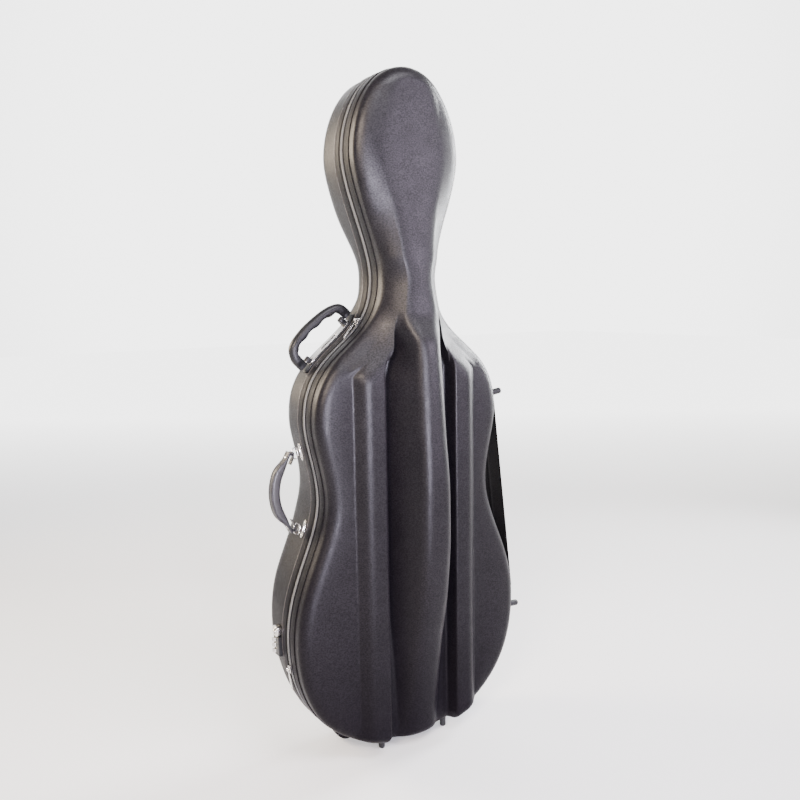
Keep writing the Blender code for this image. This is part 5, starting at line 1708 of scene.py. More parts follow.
@dataclass
class Grip(SubAssembly):
    """The moulded grip on the left shoulder, with its slotted plate on a rubber pad."""

    low_z: float = 0.781
    high_z: float = 0.879
    y: float = 0.043
    axis_out: float = 0.013
    radius: float = 0.0100
    end_radius: float = 0.0066
    end: float = 0.0038
    rise: float = 0.042
    dips: int = 5
    dip_depth: float = 0.0032
    pad_share: float = 0.55
    pad_half: float = 0.0128
    pad_thick: float = 0.0042
    plate_share: float = 0.435
    plate_half: float = 0.0108
    plate_thick: float = 0.0018
    lug_radius: float = 0.0065
    lug_half: float = 0.0050

    def build(self) -> None:
        """Make the pad, the plate, the lugs and the grip."""
        low, high = (float(self.outline.left(z)) for z in (self.low_z, self.high_z))
        ends = self.outline.point(np.array([low, high]), self.axis_out)
        self.span = float(np.linalg.norm(ends[1] - ends[0])) / 2
        self.frame = joint_frame("grip_swing")
        self.plates((low + high) / 2, (low - high) * self.outline.around)
        for level in Level:
            self.lug(level)
            self.keep(f"grip_pin_{level.value}", "steel")
        self.handle()

    def plates(self, middle: float, reach: float) -> None:
        """The rubber pad, the bright plate with a slot and two holes, and the slot's raised lip.

        Args:
            middle: Share at which they lie.
            reach: Distance between the lugs.
        """
        half = reach * self.plate_share
        slot, hole = oval(36, 0.5) * (half * 0.40, 0.0030), oval(20) * (0.0034, 0.0021)
        lip, top = oval(40, 0.5) * (half * 0.40 + 0.0011, 0.0041), self.pad_thick + self.plate_thick
        for name, slot_name, nodes, made in (
                ("grip_rubber_pad", "rubber", ("grip_pad",),
                 cut_plate(oval(72, 0.42) * (reach * self.pad_share, self.pad_half), [],
                           self.pad_thick + 0.001, 0.0010, 0.006, (0, 0, -0.001))),
                ("grip_slotted_plate", "steel", ("grip_plate",),
                 cut_plate(oval(64, 0.55) * (half, self.plate_half),
                           [slot, hole + (half * 0.80, 0), hole - (half * 0.80, 0)], self.plate_thick, 0.0005,
                           0.006, (0, 0, self.pad_thick))),
                ("grip_plate_slot_lip", "steel", (),
                 cut_plate(lip, [slot], 0.0010, 0.0004, 0.006, (0, 0, top - 0.0004)))):
            self.add(name, "base", slot_name, self.outline.wrap(made, middle, self.y), *nodes)

    def lug(self, level: Level) -> None:
        """The round rubber lug in which one end of the grip turns.

        Args:
            level: Which end.
        """
        pin = self.frame.inverted() @ own_middle(f"grip_pin_{level.value}")
        turns = np.linspace(-0.62 * math.pi, 0.62 * math.pi, 25)
        foot, wide = -(self.axis_out - self.pad_thick + 0.0012), 0.0062
        top = self.lug_radius * np.stack([np.sin(turns), np.cos(turns)], 1)
        section = np.concatenate([[(-wide, foot)], top, [(wide, foot)]])
        made = bar_across(section, self.lug_half, 0.0008, 0.90, pin.x - level.side * 0.0003, foot / 2)
        node = f"grip_lug_{level.value}"
        self.add(f"{node}_rubber", "base", "rubber", seated(made, self.frame), node)

    def handle(self) -> None:
        """The bow-shaped grip with finger bumps on its inside and knuckled ends."""
        span, rise, end = self.span, self.rise, self.end
        route = [(-span, -end), (-span, 2 * end), (-0.98 * span, 0.52 * rise), (-0.80 * span, 0.90 * rise),
                 (-0.36 * span, rise), (0.12 * span, 0.94 * rise), (0.60 * span, 0.78 * rise),
                 (0.92 * span, 0.52 * rise), (span, 2 * end), (span, -end)]
        path = curve_through(route, 14)
        share = np.linspace(0, 1, len(path))
        held = ease(share, 0.18, 0.28) * (1 - ease(share, 0.72, 0.82))
        dip = held * self.dip_depth * (0.5 - 0.5 * np.cos(2 * math.pi * self.dips * (share - 0.2) / 0.6))
        widths = self.end_radius + (self.radius - self.end_radius) * ease(path[:, 1], end, 4 * end)
        ring = oval(28, 0.92)
        rings = plane_tube(path, widths, self.radius, ring)
        middles = rings.mean(axis=1, keepdims=True)
        inner = np.clip(-ring[:, 1], 0, 1) ** 1.5
        rings = rings + in_plane(directions(path)[1])[:, None] * (dip[:, None] * inner[None, :])[..., None]
        seam = 0.00035 * np.exp(-(ring[:, 1] / 0.10) ** 2)
        rings = rings + (rings - middles) * (seam / self.radius)[None, :, None]
        rings[[0, -1]] = rings[[0, -1]] * 0.80 + middles[[0, -1]] * 0.20
        self.add("grip_moulded_rubber", "grip", "rubber", seated(loft(rings), self.frame), "grip")


@dataclass
class CarryStrap(SubAssembly):
    """The leather handle at the waist, its D-rings, and the oval plates that hold them."""

    heights: Pair = (0.466, 0.622)
    y: float = 0.040
    rise: float = 0.060
    half_width: float = 0.008
    half_thick: float = 0.0095
    end_thick: float = 0.0032
    lap: float = 0.004
    wire: float = 0.0013
    ring_length: float = 0.024
    ring_reach: float = 0.013
    eye_radius: float = 0.0033
    eye_half: float = 0.0055
    screw_place: float = 0.0125
    plate: Triple = (0.036, 0.012, 0.0016)
    rivet_station: int = 11

    def build(self) -> None:
        """Make the plates, the rings and the handle."""
        self.frame = joint_frame("strap_swing")
        ends = [self.frame.inverted() @ own_middle(f"strap_ring_{level.value}") for level in Level]
        self.span = (ends[1].x - ends[0].x) / 2
        for level, z in zip(Level, self.heights):
            ring_seat = self.frame @ Matrix.Translation((level.side * self.span, 0, 0))
            self.oval_plate(level, float(self.outline.left(z)), ring_seat)
            self.ring(level, ring_seat)
        self.handle()

    def oval_plate(self, level: Level, share: float, ring_seat: Matrix) -> None:
        """An oval plate with a raised eye and a screw on each side of it.

        Args:
            level: Which end.
            share: Share at which it lies.
            ring_seat: Where its ring turns.
        """
        length, width, thick = self.plate
        node = f"strap_plate_{level.value}"
        made = cut_plate(oval(48, 0.80) * (length / 2, width / 2), [], thick + 0.0008, 0.0005, 0.004,
                         (0, 0, -0.0006))
        self.add(f"{node}_oval", "base", "steel", self.outline.wrap(made, share, self.y), node)
        seat = self.outline.seat(share, self.y)
        out = (seat.inverted() @ ring_seat).translation.z
        turns, radius = np.linspace(-0.70 * math.pi, 0.70 * math.pi, 23), self.eye_radius
        top = np.stack([radius * np.sin(turns), out + radius * np.cos(turns)], 1)
        section = np.concatenate([[(-0.0040, 0.0012), (-0.0026, 0.0030)], top,
                                  [(0.0026, 0.0030), (0.0040, 0.0012)]])
        made = seated(bar_across(section, self.eye_half, 0.0006, 0.94), seat)
        self.add(f"{node}_eye", "base", "steel", made)
        head = [(0.0026, 0.0), (0.0026, 0.0003), (0.0020, 0.0008), (0.0008, 0.0010), (0.0006, 0.0005)]
        for word, side in (("a", 1), ("b", -1)):
            screw = self.outline.seat(share + side * self.screw_place / self.outline.around, self.y, thick)
            self.add(f"{node}_screw_{word}", "base", "steel", lathe(head, screw))

    def ring(self, level: Level, seat: Matrix) -> None:
        """A D-ring of round wire.

        Args:
            level: Which end.
            seat: Where it turns.
        """
        half, reach = self.ring_length / 2, self.ring_reach
        corner = 0.35 * reach
        route = [(-half + corner, 0), (0, 0), (half - corner, 0), (half, corner), (0.86 * half, 0.62 * reach),
                 (0.45 * half, reach), (-0.45 * half, reach), (-0.86 * half, 0.62 * reach), (-half, corner)]
        path = rounded(route, 0.004, 5, closed=True, between=1)
        made = loft(plane_tube(path, self.wire, self.wire, oval(12), closed=True), closed=True)
        node = f"strap_ring_{level.value}"
        self.add(f"{node}_wire", "carry_strap", "steel", seated(made, seat), node)

    def leather(self, name: str, rings: Array, *nodes: str) -> None:
        """Add a leather piece of the handle."""
        self.add(name, "carry_strap", "leather", seated(loft(rings), self.frame), *nodes)

    def handle(self) -> None:
        """The padded leather handle with a stitched seam along both edges and folded ends."""
        seat = self.ring_reach + self.wire + EDGE_GAP + self.end_thick
        stem, span, rise = self.span + self.lap, self.span, self.rise - self.half_thick
        route = [(-stem, seat), (-0.80 * span, 0.56 * rise), (-0.45 * span, 0.88 * rise), (0, rise),
                 (0.45 * span, 0.88 * rise), (0.80 * span, 0.56 * rise), (stem, seat)]
        path = curve_through(route, 18)
        share = np.linspace(0, 1, len(path))
        full = ease(share, 0.10, 0.32) * (1 - ease(share, 0.68, 0.90))
        thick = self.end_thick + (self.half_thick - self.end_thick) * full
        rings = plane_tube(path, self.half_width, thick, oval(36, 0.62))
        rings[[0, -1]] = 0.6 * rings[[0, -1]] + 0.4 * rings[[0, -1]].mean(axis=1, keepdims=True)
        self.leather("strap_leather_handle", rings, "strap_handle")
        up = directions(path)[1]
        for word, side in (("front", -1), ("back", 1)):
            self.edge(word, side, path, up, thick)
        for level, index in zip(Level, (self.rivet_station, len(path) - 1 - self.rivet_station)):
            self.rivet(level, path[index] + up[index] * (thick[index] - 0.0006), up[index])
            self.tongue(level)

    def edge(self, word: str, side: int, path: Array, up: Array, thick: Array) -> None:
        """One turned-over outer edge, and the row of stitches beside it.

        Args:
            word: The end of both pieces' names.
            side: The sign of y.
            path: The handle's middle line.
            up: Direction away from the case at each point.
            thick: Half the handle's thickness at each point.
        """
        outer, y = path + up * (thick - 0.0010)[:, None], side * (self.half_width - 0.0006)
        self.leather(f"strap_edge_{word}", plane_tube(outer, 0.0012, 0.0012, oval(10)) + (0, y, 0))
        run = np.concatenate([[0], np.cumsum(np.linalg.norm(np.diff(outer, axis=0), axis=1))])
        ways, turn, spots = directions(path)[0], self.frame.to_3x3(), []
        for distance in np.arange(0.010, run[-1] - 0.010, 0.0040):
            i = int(np.searchsorted(run, distance))
            x, z = path[i] + up[i] * (thick[i] + 0.0001)
            spots.append((self.frame @ Vector((x, y - side * 0.0030, z)),
                          turn @ Vector((ways[i][0], 0, ways[i][1])), turn @ Vector((up[i][0], 0, up[i][1]))))
        self.add(f"strap_stitches_{word}", "carry_strap", "leather", stitches(spots), finish="thread")

    def rivet(self, level: Level, place: Array, up: Array) -> None:
        """A domed rivet through the folded end.

        Args:
            level: Which end.
            place: Its foot.
            up: Its axis.
        """
        turn = Vector((up[0], 0, up[1])).to_track_quat("Z", "Y").to_matrix().to_4x4()
        seat = self.frame @ Matrix.Translation((place[0], 0, place[1])) @ turn
        head = [(0.0032, 0.0), (0.0032, 0.0006), (0.0026, 0.0014), (0.0014, 0.0018), (0.0003, 0.0019)]
        node = f"strap_rivet_{level.value}"
        self.add(f"{node}_head", "carry_strap", "steel", lathe(head, seat), node)

    def tongue(self, level: Level) -> None:
        """The strap's tongue, folded round the ring and laid back under the handle.

        Args:
            level: Which end.
        """
        side = level.side
        turns = np.linspace(-0.5 * math.pi, 0.5 * math.pi, 9) + (0 if side > 0 else math.pi)
        arc = (np.array([side * (self.span + 0.001), self.ring_reach])
               + (self.wire + 0.0012) * np.stack([np.cos(turns), np.sin(turns) * side], 1))
        line = np.array([arc[0] + (-side * 0.022, 0.007), arc[0] + (-side * 0.010, 0.001), *arc,
                         arc[-1] + (-side * 0.004, 0.0006)])
        rings = plane_tube(line, self.half_width - 0.0010, 0.0009, oval(16, 0.5))
        self.leather(f"strap_tongue_{level.value}", rings)


@dataclass
class CombinationLock(SubAssembly):
    """The lock on the left wall: its case, cap, button and three number dials."""

    dial_radius: float = 0.0066
    dial_half: float = 0.0040
    knurls: int = 20
    groove: float = 0.965
    digit_size: float = 0.00364
    cap_thick: float = 0.0125
    cap_sink: float = 0.0010

    def build(self) -> None:
        """Dress the case and the button, and make the cap and the dials."""
        self.keep("lock_body", "lock")
        self.keep("lock_button", "steel")
        self.cap()
        for number in (1, 2, 3):
            self.dial(f"dial_{number}", joint_frame(f"dial_{number}_turn"))

    def cap(self) -> None:
        """The bright oval cap with a raised ring round the button, and its well's floor."""
        seat = joint_frame("dial_2_turn")
        middle = seat.inverted() @ own_middle("lock_button")
        low, _, centre, _ = solid_box("lock_cap")
        outer = seat.inverted() @ (Vector((low.x, 0, centre.z)) - Vector(SHIFT))
        floor, rise = outer.z - self.cap_thick, self.cap_thick - self.cap_sink
        well = oval(32) * 0.0050
        for word, ring, holes, thick, bevel, lift, finish, nodes in (
                ("oval", oval(56, 0.72) * (0.0105, 0.0120), [well], rise, 0.0022, 0.0, "steel",
                 ("lock_cap",)),
                ("collar", oval(40) * (0.0074, 0.0078), [well], 0.0022, 0.0006, rise - 0.0012, "steel", ()),
                ("well_floor", oval(28) * 0.0046, [], 0.004, 0.0004, 0.0, "lock", ())):
            made = cut_plate(ring, holes, thick, bevel, lift=(middle.x, middle.y, floor + lift))
            self.add(f"lock_cap_{word}", "base", "steel", seated(made, seat), *nodes, finish=finish)

    def dial(self, body: str, seat: Matrix) -> None:
        """A knurled wheel with the figures 0 to 9 round its rim.

        Args:
            body: The body that it turns with.
            seat: Its X is the axis.
        """
        turns = np.linspace(0, 2 * math.pi, self.knurls * 8, endpoint=False)
        knurl = 0.0004 * (0.5 + 0.5 * np.cos(turns * self.knurls))
        rim = [(0.60, self.groove, 0.0), (0.72, 1.0, 1.0), (0.94, 0.95, 0.3), (1.0, 0.86, 0.0)]
        rings = []
        for along, size, depth in [(-along, size, depth) for along, size, depth in rim[::-1]] + rim:
            radius = self.dial_radius * size - depth * knurl
            rings.append(np.stack([np.full(len(turns), along * self.dial_half), radius * np.cos(turns),
                                   radius * np.sin(turns)], 1))
        self.add(f"lock_{body}_wheel", body, "steel", seated(loft(np.array(rings)), seat), f"lock_{body}")
        self.add(f"lock_{body}_figures", body, "steel", seated(self.figures(), seat), finish="figures",
                 solid=False)

    def figures(self) -> Made:
        """Ten figures wrapped round a dial.

        Returns:
            Points, faces and cloth coordinates, in the dial's own frame.
        """
        points: list[Array] = []
        faces: list[tuple[int, ...]] = []
        radius = self.dial_radius * self.groove
        for digit in range(10):
            data = bpy.data.curves.new("figure", "FONT")
            data.body, data.size, data.extrude = str(digit), self.digit_size, 0.00006
            data.align_x, data.align_y = "CENTER", "CENTER"
            mesh = mesh_of(data)
            co = np.array([tuple(vert.co) for vert in mesh.vertices])
            turn = 2 * math.pi * digit / 10 - co[:, 0] / radius
            out = radius + co[:, 2] + 0.00003
            start = sum(len(part) for part in points)
            points.append(np.stack([co[:, 1], out * np.cos(turn), out * np.sin(turn)], 1))
            faces += [tuple(start + i for i in face.vertices) for face in mesh.polygons]
            bpy.data.meshes.remove(mesh)
        joined = np.concatenate(points)
        return joined, faces, joined[:, 1:]


@dataclass
class ZipPulls(SubAssembly):
    """The two sliders on the chain and their pulls."""

    heights: Pair = (0.206, 0.870)
    seat_out: float = 0.0026
    length: float = 0.016
    width: float = 0.0100
    bridge_y: float = 0.0029
    pull_length: float = 0.044
    pull_width: float = 0.0072
    pull_thick: float = 0.0016

    def build(self) -> None:
        """Make both sliders and both pulls."""
        for level, z in zip(Level, self.heights):
            share, pin = float(self.outline.left(z)), joint_frame(f"pull_{level.value}_swing").translation
            self.slider(f"zip_slider_{level.value}", self.outline.seat(share, 0.0, self.seat_out), pin)
            seat = self.outline.seat(share, 0.0)
            seat.translation = pin
            self.pull(f"zip_pull_{level.value}", f"pull_{level.value}", seat)

    def slider(self, node: str, seat: Matrix, pin: Vector) -> None:
        """The slider: a waisted plate with a bridge over it.

        Args:
            node: The solid that it stands for.
            seat: Where it sits.
            pin: Where its pin is.
        """
        half, wide = self.length / 2, self.width / 2
        side = [(-half, wide * 0.62), (-half * 0.55, wide), (0.2 * half, wide * 0.86), (half, wide * 0.92)]
        ring = rounded([(x, -y) for x, y in side] + side[::-1], 0.0024, 4, closed=True, between=1)
        points, faces, cloth = cut_plate(ring, [], 0.0026, 0.0006)
        points[:, 2] += 0.0006 * (1 - (points[:, 0] / half) ** 2) * (points[:, 2] > 0.0013)
        self.add(f"{node}_plate", "base", "steel", seated((points, faces, cloth), seat), node)
        pin = seat.inverted() @ pin
        turns = np.linspace(0, math.pi, 13)
        arch = np.stack([pin.x + 0.0030 * np.cos(turns), pin.z - 0.0024 + 0.0042 * np.sin(turns)], 1)
        line = np.array([(arch[0][0] + 0.0006, 0.0016), *arch, (arch[-1][0] - 0.0006, 0.0016)])
        rings = plane_tube(line[::-1], 0.0007, 0.0010, oval(10, 0.7))
        for word, y in (("front", -self.bridge_y), ("back", self.bridge_y)):
            self.add(f"{node}_bridge_{word}", "base", "steel", seated(loft(rings + (0, y, 0)), seat))
        rod = [(0.0004, -0.0034), (0.0008, -0.0032), (0.0008, 0.0032), (0.0004, 0.0034)]
        turned = seat @ Matrix.Translation(pin) @ Matrix.Rotation(math.pi / 2, 4, "X")
        self.add(f"{node}_pin", "base", "steel", lathe(rod, turned, 16))

    def pull(self, node: str, body: str, seat: Matrix) -> None:
        """The pull: a tapered tag with a round end, a hole near it and an eye round the pin.

        Args:
            node: The solid that it stands for.
            body: The body that it moves with.
            seat: Where it turns.
        """
        far, wide = self.pull_length, self.pull_width / 2
        turns = np.linspace(math.pi / 2, 1.5 * math.pi, 15)
        round_end = np.stack([-far + wide + wide * np.cos(turns), wide * np.sin(turns)], 1)
        outline = np.array([(-0.0085, 0.0016), (-0.0125, wide * 0.80), *round_end, (-0.0125, -wide * 0.80),
                            (-0.0085, -0.0016), (0.0008, -0.0016), (0.0008, 0.0016)])
        holes = [oval(20) * (0.0022, 0.0019) + (-far + 0.0045, 0),
                 oval(24, 0.6) * (0.0080, 0.0008) + (-0.0235, 0)]
        made = cut_plate(outline, holes, self.pull_thick, 0.0004, lift=(0, 0, -self.pull_thick / 2))
        self.add(f"{node}_tag", body, "steel", seated(made, seat), node)
        ring = [(0.0011, -0.0016), (0.0019, -0.0016), (0.0021, 0.0), (0.0019, 0.0016), (0.0011, 0.0016)]
        self.add(f"{node}_eye", body, "steel", lathe(ring, seat @ Matrix.Rotation(math.pi / 2, 4, "X"), 20))


@dataclass
class Padding(SubAssembly):
    """The plush-covered foam inside the base: pads at the bouts and tail, and the neck's cradle."""

    base: BaseShell
    thick: float = 0.020
    depth: float = 0.060
    front: float = 0.004
    spans: tuple[tuple[str, float, float], ...] = (("lower_pad", 0.20, 0.34), ("upper_pad", 0.64, 0.72))
    tail_half: float = 0.09
    end_reach: float = 0.014
    swell: float = 0.0016
    seat: float = 0.0122
    cradle_z: float = 0.935
    cradle_length: float = 0.040
    cradle_rise: float = 0.016
    slot_half: float = 0.020
    slot_depth: float = 0.050

    def build(self) -> None:
        """Make the pads, the cradle and the strap across it."""
        tail = self.outline.tail(self.tail_half)
        self.pad("tail_pad", -tail, tail)
        for word, low, high in self.spans:
            self.pad(f"{word}_left", *(float(self.outline.left(z)) for z in (high, low)))
            self.pad(f"{word}_right", *(float(self.outline.right(z)) for z in (low, high)))
        self.cradle()
        self.strap()

    def pad(self, node: str, start: float, end: float) -> None:
        """One crowned pad that follows the wall, its ends rounded off.

        Args:
            node: The solid that it stands for.
            start: Share of one end.
            end: Share of the other.
        """
        shares = np.linspace(start, end, 44)
        wall = self.base.wall_height(self.outline.point(shares)[:, 1])
        back = min(self.depth, float(wall.min()))
        run = (shares - start) * self.outline.around
        room = np.minimum(run, run[-1] - run)
        full = np.sqrt(np.clip(1 - (1 - np.minimum(room / self.end_reach, 1.0)) ** 2, 0.02, 1))
        crown = self.swell * np.sin(math.pi * np.clip(run / run[-1], 0, 1))
        deep, middle = -self.seat, (self.front + back) / 2
        profiles = []
        for size, swell in zip(full, crown):
            top = deep + (self.swell - self.thick) * size - swell
            half = (back - self.front) / 2 * (0.75 + 0.25 * size)
            loop = [(deep, middle - half), (deep, middle + half), (top, middle + half),
                    (top - 0.0008, middle), (top, middle - half)]
            profiles.append(rounded(loop, 0.0085, 5, closed=True, between=2))
        made = self.outline.band(HalfName.BASE, shares, np.array(profiles))
        self.add(f"{node}_plush", "base", "foam", made, node)

    def cradle(self) -> None:
        """The block with a round slot for the neck."""
        z0, z1 = self.cradle_z - self.cradle_length / 2, self.cradle_z + self.cradle_length / 2
        heights, inset = np.linspace(z0, z1, 3), self.seat + 0.0006
        half = float(self.outline.point(self.outline.right(heights))[:, 0].min()) - inset
        depth, corner = float(self.base.depth_at(heights).min()) - inset, self.base.corner - inset
        turns, bends = np.linspace(math.pi / 2, 0, 9), np.linspace(math.pi, 0, 13)
        arc = np.stack([half - corner + corner * np.sin(turns), depth - corner + corner * np.cos(turns)], 1)
        wide, rise = self.slot_half, self.cradle_rise
        slot = np.stack([wide * np.cos(bends), self.slot_depth - rise - wide + wide * np.sin(bends)], 1)
        right = np.concatenate([[(wide + 0.004, -rise), (half, -rise)], arc])
        outline = np.concatenate([right, right[::-1] * (-1, 1), [(-wide, -rise + 0.004)], slot,
                                  [(wide, -rise + 0.004)]])
        line = rounded(outline, 0.004, 3, closed=True, between=0)
        inward = directions(line, closed=True)[1]
        stations = ((z0, 0.0028), (z0 + 0.0009, 0.0010), (z0 + 0.003, 0.0), (z1 - 0.003, 0.0),
                    (z1 - 0.0009, 0.0010), (z1, 0.0028))
        points = np.concatenate([np.column_stack([line + inward * shrink, np.full(len(line), z)])
                                 for z, shrink in stations])
        count, last = len(line), len(points) - len(line)
        faces = [*grid_faces(len(stations), count, False, True), tuple(range(count)),
                 tuple(range(last, last + count))]
        made = points, faces, points[:, [0, 2]]
        piece = self.add("neck_cradle_plush", "base", "foam", made, "neck_cradle")

    def strap(self) -> None:
        """The webbing across the cradle's slot, with a rip-open tab at one end."""
        _, _, middle, size = solid_box("neck_strap")
        for name, ring, thick, bevel, slices, x, side, finish, nodes in (
                ("webbing", oval(40, 0.35) * (size.x / 2, size.z / 2), size.y, size.y * 0.3, 0.006, 0.0, 1,
                 "strap", ("neck_strap",)),
                ("tab", oval(32, 0.4) * (0.011, size.z / 2 - 0.001), 0.0014, 0.0004, 0.0, size.x * 0.27, -1,
                 "binding", ())):
            points, faces, _ = cut_plate(ring, [], thick, bevel, slices)
            flat = np.stack([points[:, 0] + x, side * points[:, 2] - size.y / 2, points[:, 1]], 1)
            points = flat + np.array(middle)
            self.add(f"neck_strap_{name}", "base", "strap", (points, faces, points[:, [0, 2]]), *nodes,
                     finish=finish, local=False)


@dataclass
class BowHolders(SubAssembly):
    """For each bow, a turning clip on a post and a pocket for its tip, on the lid's lining."""

    def build(self) -> None:
        """Make both pairs."""
        for hand in Hand:
            self.post(f"bow_post_{hand.value}")
            self.clip(f"bow_clip_{hand.value}")
            self.pocket(f"bow_tip_pocket_{hand.value}")

    def facing(self, place: Sequence[float]) -> Matrix:
        """A seat whose Z points to the back, into the lid's hollow."""
        return Matrix.Translation(place) @ Matrix.Rotation(-math.pi / 2, 4, "X")

    def post(self, node: str) -> None:
        """A waisted post on a round flange.

        Args:
            node: The solid that it stands for.
        """
        low, _, middle, size = solid_box(node)
        r, rise = size.x / 2, size.y
        profile = [(r, -0.002), (r, 0.0012), (r * 0.92, 0.0022), (r * 0.66, 0.0030), (r * 0.58, rise * 0.45),
                   (r * 0.60, rise * 0.75), (r * 0.78, rise * 0.90), (r * 0.80, rise * 0.97),
                   (r * 0.74, rise)]
        made = lathe(profile, self.facing((middle.x, low.y, middle.z)), 32)
        self.add(f"{node}_turned", "lid", "plastic", made, node, local=False)

    def clip(self, node: str) -> None:
        """A turning bar, round-ended, with a hollow for the thumb at each end and a screw.

        Args:
            node: The solid that it stands for.
        """
        _, high, middle, size = solid_box(node)
        ring = oval(56, 0.55) * (size.x / 2, size.z / 2)
        points, faces, _ = cut_plate(ring, [], size.y, 0.0016, 0.003)
        hollow = 0.0010 * np.exp(-((np.abs(points[:, 0]) - 0.016) / 0.006) ** 2)
        points[:, 2] -= hollow * (points[:, 2] > size.y / 2)
        points = np.stack([points[:, 0], points[:, 2] - size.y / 2, -points[:, 1]], 1) + np.array(middle)
        self.add(f"{node}_bar", node, "plastic", (points, faces, points[:, [0, 2]]), node, local=False)
        head = [(0.0034, 0.0), (0.0034, 0.0003), (0.0026, 0.0008), (0.0010, 0.0010), (0.0006, 0.0006)]
        seat = self.facing((middle.x, high.y - 0.0004, middle.z))
        self.add(f"{node}_screw", node, "steel", lathe(head, seat), local=False)

    def pocket(self, node: str) -> None:
        """A webbing sleeve with a rolled hem at its mouth and a closed top.

        Args:
            node: The solid that it stands for.
        """
        _, _, middle, size = solid_box(node)
        r, half, wall = size.x / 2, size.z / 2, 0.002
        profile = [(r * 0.25, 0.040), (r - wall, 0.044), (r - wall, 0.002), (r - wall * 0.8, 0.0005),
                   (r - wall * 0.4, 0.0), (r, 0.0008), (r, 0.0030), (r - 0.0006, 0.0042), (r - 0.0003, half),
                   (r - 0.0003, 2 * half - 0.003), (r * 0.86, 2 * half - 0.0008), (r * 0.5, 2 * half),
                   (r * 0.05, 2 * half)]
        made = lathe(profile, Matrix.Translation(middle - Vector((0, 0, half))), 36)
        self.add(f"{node}_sleeve", "lid", "strap", made, node, local=False)


@dataclass
class AccessoryBox(SubAssembly):
    """The small box in the head of the base, with its plush cover and pull ribbon."""

    wall: float = 0.003
    corner: float = 0.006

    def build(self) -> None:
        """Make the tray, its cover and the ribbon."""
        low, high, middle, size = solid_box("accessory_box")
        deep, front, wall = high.y, low.y, self.wall
        inside = self.corner - 0.5 * wall
        stations = [(deep, 0.004, self.corner), (deep - 0.0015, 0.001, self.corner),
                    (deep - 0.004, 0.0, self.corner), (front + 0.0012, 0.0, self.corner),
                    (front, 0.0008, self.corner), (front, wall - 0.0008, inside),
                    (front + 0.0012, wall, inside), (deep - 0.006, wall, inside),
                    (deep - wall, wall + 0.003, inside)]
        self.add("accessory_tray", "base", "plastic", self.walls(middle, size, stations), "accessory_box",
                 local=False)
        self.cover()

    def walls(self, middle: Vector, size: Vector, stations: Sequence[Triple]) -> Made:
        """A rounded box's skin.

        Args:
            middle: Its middle.
            size: Its size.
            stations: In order along Y: the place, the inset from the size, and the corners' radius.

        Returns:
            Points, faces and cloth coordinates.
        """
        rings = []
        for y, inset, corner in stations:
            half_x, half_z = size.x / 2 - inset, size.z / 2 - inset
            corners = [(-half_x, -half_z), (half_x, -half_z), (half_x, half_z), (-half_x, half_z)]
            line = rounded(corners, corner, 4, closed=True, between=3)
            rings.append(in_plane(line + (middle.x, middle.z), y))
        return loft(np.array(rings))

    def cover(self) -> None:
        """The cover: a board under a slightly crowned skin, with a ribbon at its lower edge."""
        low, high, middle, size = solid_box("accessory_lid")
        stations = [(high.y, 0.0012), (high.y - 0.0006, 0.0), (low.y + 0.0012, 0.0), (low.y + 0.0003, 0.0012),
                    (low.y, 0.004)]
        made = self.walls(middle, size, [(y, inset, self.corner) for y, inset in stations])
        self.add("accessory_cover_board", "box_lid", "plastic", made, "accessory_lid", finish="foam",
                 local=False)
        path = [(0.0, 0.0), (-0.004, 0.0), (-0.009, -0.0015), (-0.014, -0.0024), (-0.018, -0.0010)]
        points, faces, cloth = loft(plane_tube(curve_through(path, 5), 0.006, 0.0005, oval(12, 0.4)))
        spot = np.array([middle.x, low.y - 0.0002, low.z + 0.020])
        points = np.stack([points[:, 1], -np.abs(points[:, 2]), points[:, 0]], 1) + spot
        self.add("accessory_cover_ribbon", "box_lid", "plastic", (points, faces, cloth), finish="strap",
                 local=False)


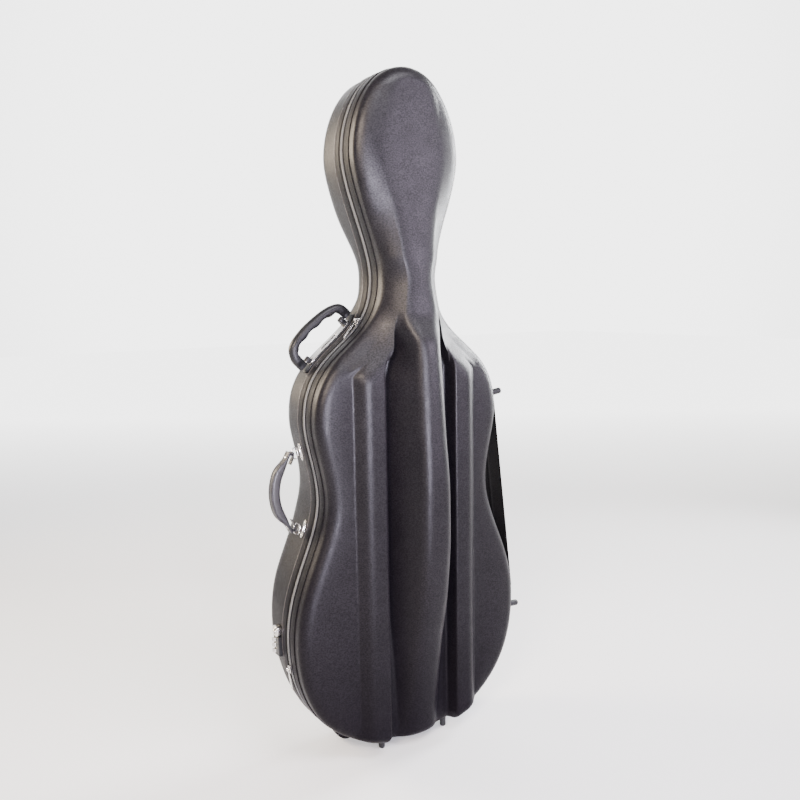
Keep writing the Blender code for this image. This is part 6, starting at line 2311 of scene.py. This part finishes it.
@dataclass
class Studio:
    """The floor, the soft lights and the camera."""

    eye: Triple = (-0.8655, -1.3636, 0.9178)
    right: Triple = (0.8421, -0.5391, -0.0159)
    up: Triple = (0.0818, 0.0984, 0.9918)
    lens: float = 36.0
    floor_half: float = 14.0
    backdrop: Triple = (0.533, 0.836, 0.12)
    backdrop_edge: Pair = (0.66, 0.95)
    dim: float = 0.42
    bright: float = 4.4
    glow: float = 3.4
    floor_light: float = 0.25
    target: Triple = (0.0, 0.0, 1.0)
    spread: float = math.radians(100.0)
    lamps: tuple[tuple[str, tuple[float, ...], Pair, float, tuple[float, ...]], ...] = (
        ("left_softbox", (-2.1, 2.3, 1.9), (1.2, 1.6), 62.0, (1.0, 0.84, 0.64)),
        ("left_strip", (-2.2, -2.0, 2.3), (0.90, 1.3), 50.0, (1.0, 0.84, 0.70)),
        ("front_strip", (-0.80, -3.1, 0.62), (0.26, 1.0), 74.0, (0.86, 0.82, 1.0)),
        ("front_fill", (1.9, -2.8, 1.5), (1.2, 1.6), 36.0, (0.90, 0.80, 1.0)),
        ("right_softbox", (2.6, 0.2, 1.6), (0.7, 2.0), 70.0, (0.96, 0.97, 1.0)),
        ("top_softbox", (0.3, -1.9, 3.3), (1.8, 1.2), 36.0, (0.95, 0.93, 1.0)))

    def build(self) -> None:
        """Set the floor, the world, the lights and the camera."""
        corners = self.floor_half * np.array([(-1, -1, 0), (1, -1, 0), (1, 1, 0), (-1, 1, 0)], float)
        material = FloorFinish(self.backdrop, self.glow, self.floor_light).make()
        make_piece("studio_floor", (corners, [(0, 1, 2, 3)], corners[:, :2]), material, local=False,
                            solid=False)
        self.world()
        for lamp in self.lamps:
            self.light(*lamp)
        self.camera()

    def world(self) -> None:
        """Pale surroundings, bright behind the case and dimmer in front of it."""
        world = bpy.data.worlds.new("studio")
        world.use_nodes = True
        tree = world.node_tree
        place, towards, ramp = (tree.nodes.new(f"ShaderNode{kind}") for kind in
                                ("TexCoord", "VectorMath", "MapRange"))
        towards.operation, ramp.interpolation_type = "DOT_PRODUCT", "SMOOTHSTEP"
        towards.inputs[1].default_value = self.backdrop
        for key, value in zip(("From Min", "From Max", "To Min", "To Max"),
                              (*self.backdrop_edge, self.dim, self.bright)):
            ramp.inputs[key].default_value = value
        back = tree.nodes["Background"]
        back.inputs["Color"].default_value = (1.0, 1.0, 1.0, 1.0)
        for start, end in ((place.outputs["Generated"], towards.inputs[0]),
                           (towards.outputs["Value"], ramp.inputs["Value"]),
                           (ramp.outputs[0], back.inputs["Strength"])):
            tree.links.new(start, end)
        bpy.context.scene.world = world

    def light(self, name: str, place: Sequence[float], size: Sequence[float], power: float,
              colour: Sequence[float]) -> None:
        """A rectangular softbox that faces the target.

        Args:
            name: The light's name.
            place: Where it stands.
            size: Its width and height.
            power: Its power in watts.
            colour: Its colour.
        """
        data = bpy.data.lights.new(name, "AREA")
        data.shape, data.size, data.size_y = "RECTANGLE", *size
        data.energy, data.color, data.spread = power, colour, self.spread
        lamp = bpy.data.objects.new(name, data)
        lamp.location = place
        lamp.rotation_euler = (Vector(self.target) - Vector(place)).to_track_quat("-Z", "Y").to_euler()
        bpy.context.scene.collection.objects.link(lamp)

    def camera(self) -> None:
        """The camera at the photograph's place, height and lean."""
        data = bpy.data.cameras.new("camera")
        data.lens, data.sensor_width, data.sensor_fit = self.lens, 36.0, "HORIZONTAL"
        data.clip_start, data.clip_end = 0.05, 60.0
        right, up = Vector(self.right).normalized(), Vector(self.up).normalized()
        item = bpy.data.objects.new("camera", data)
        seat = Matrix((right, up, right.cross(up))).transposed().to_4x4()
        seat.translation = Vector(self.eye) + Vector(SHIFT)
        item.matrix_world = seat
        bpy.context.scene.collection.objects.link(item)
        bpy.context.scene.camera = item


def main() -> None:
    """Build every sub-assembly in order."""
    logging.basicConfig(level=logging.INFO, format="%(message)s")
    kit = Outline(), Wardrobe(Finishes())
    skins = Skins(*kit)
    for part in (skins, Edging(*kit), HingePanel(*kit), Bumpers(*kit), Feet(*kit, skins.base), Grip(*kit),
                 CarryStrap(*kit), CombinationLock(*kit), ZipPulls(*kit), Padding(*kit, skins.base),
                 BowHolders(*kit), AccessoryBox(*kit), Studio()):
        part.build()


if __name__ == "__main__":
    main()
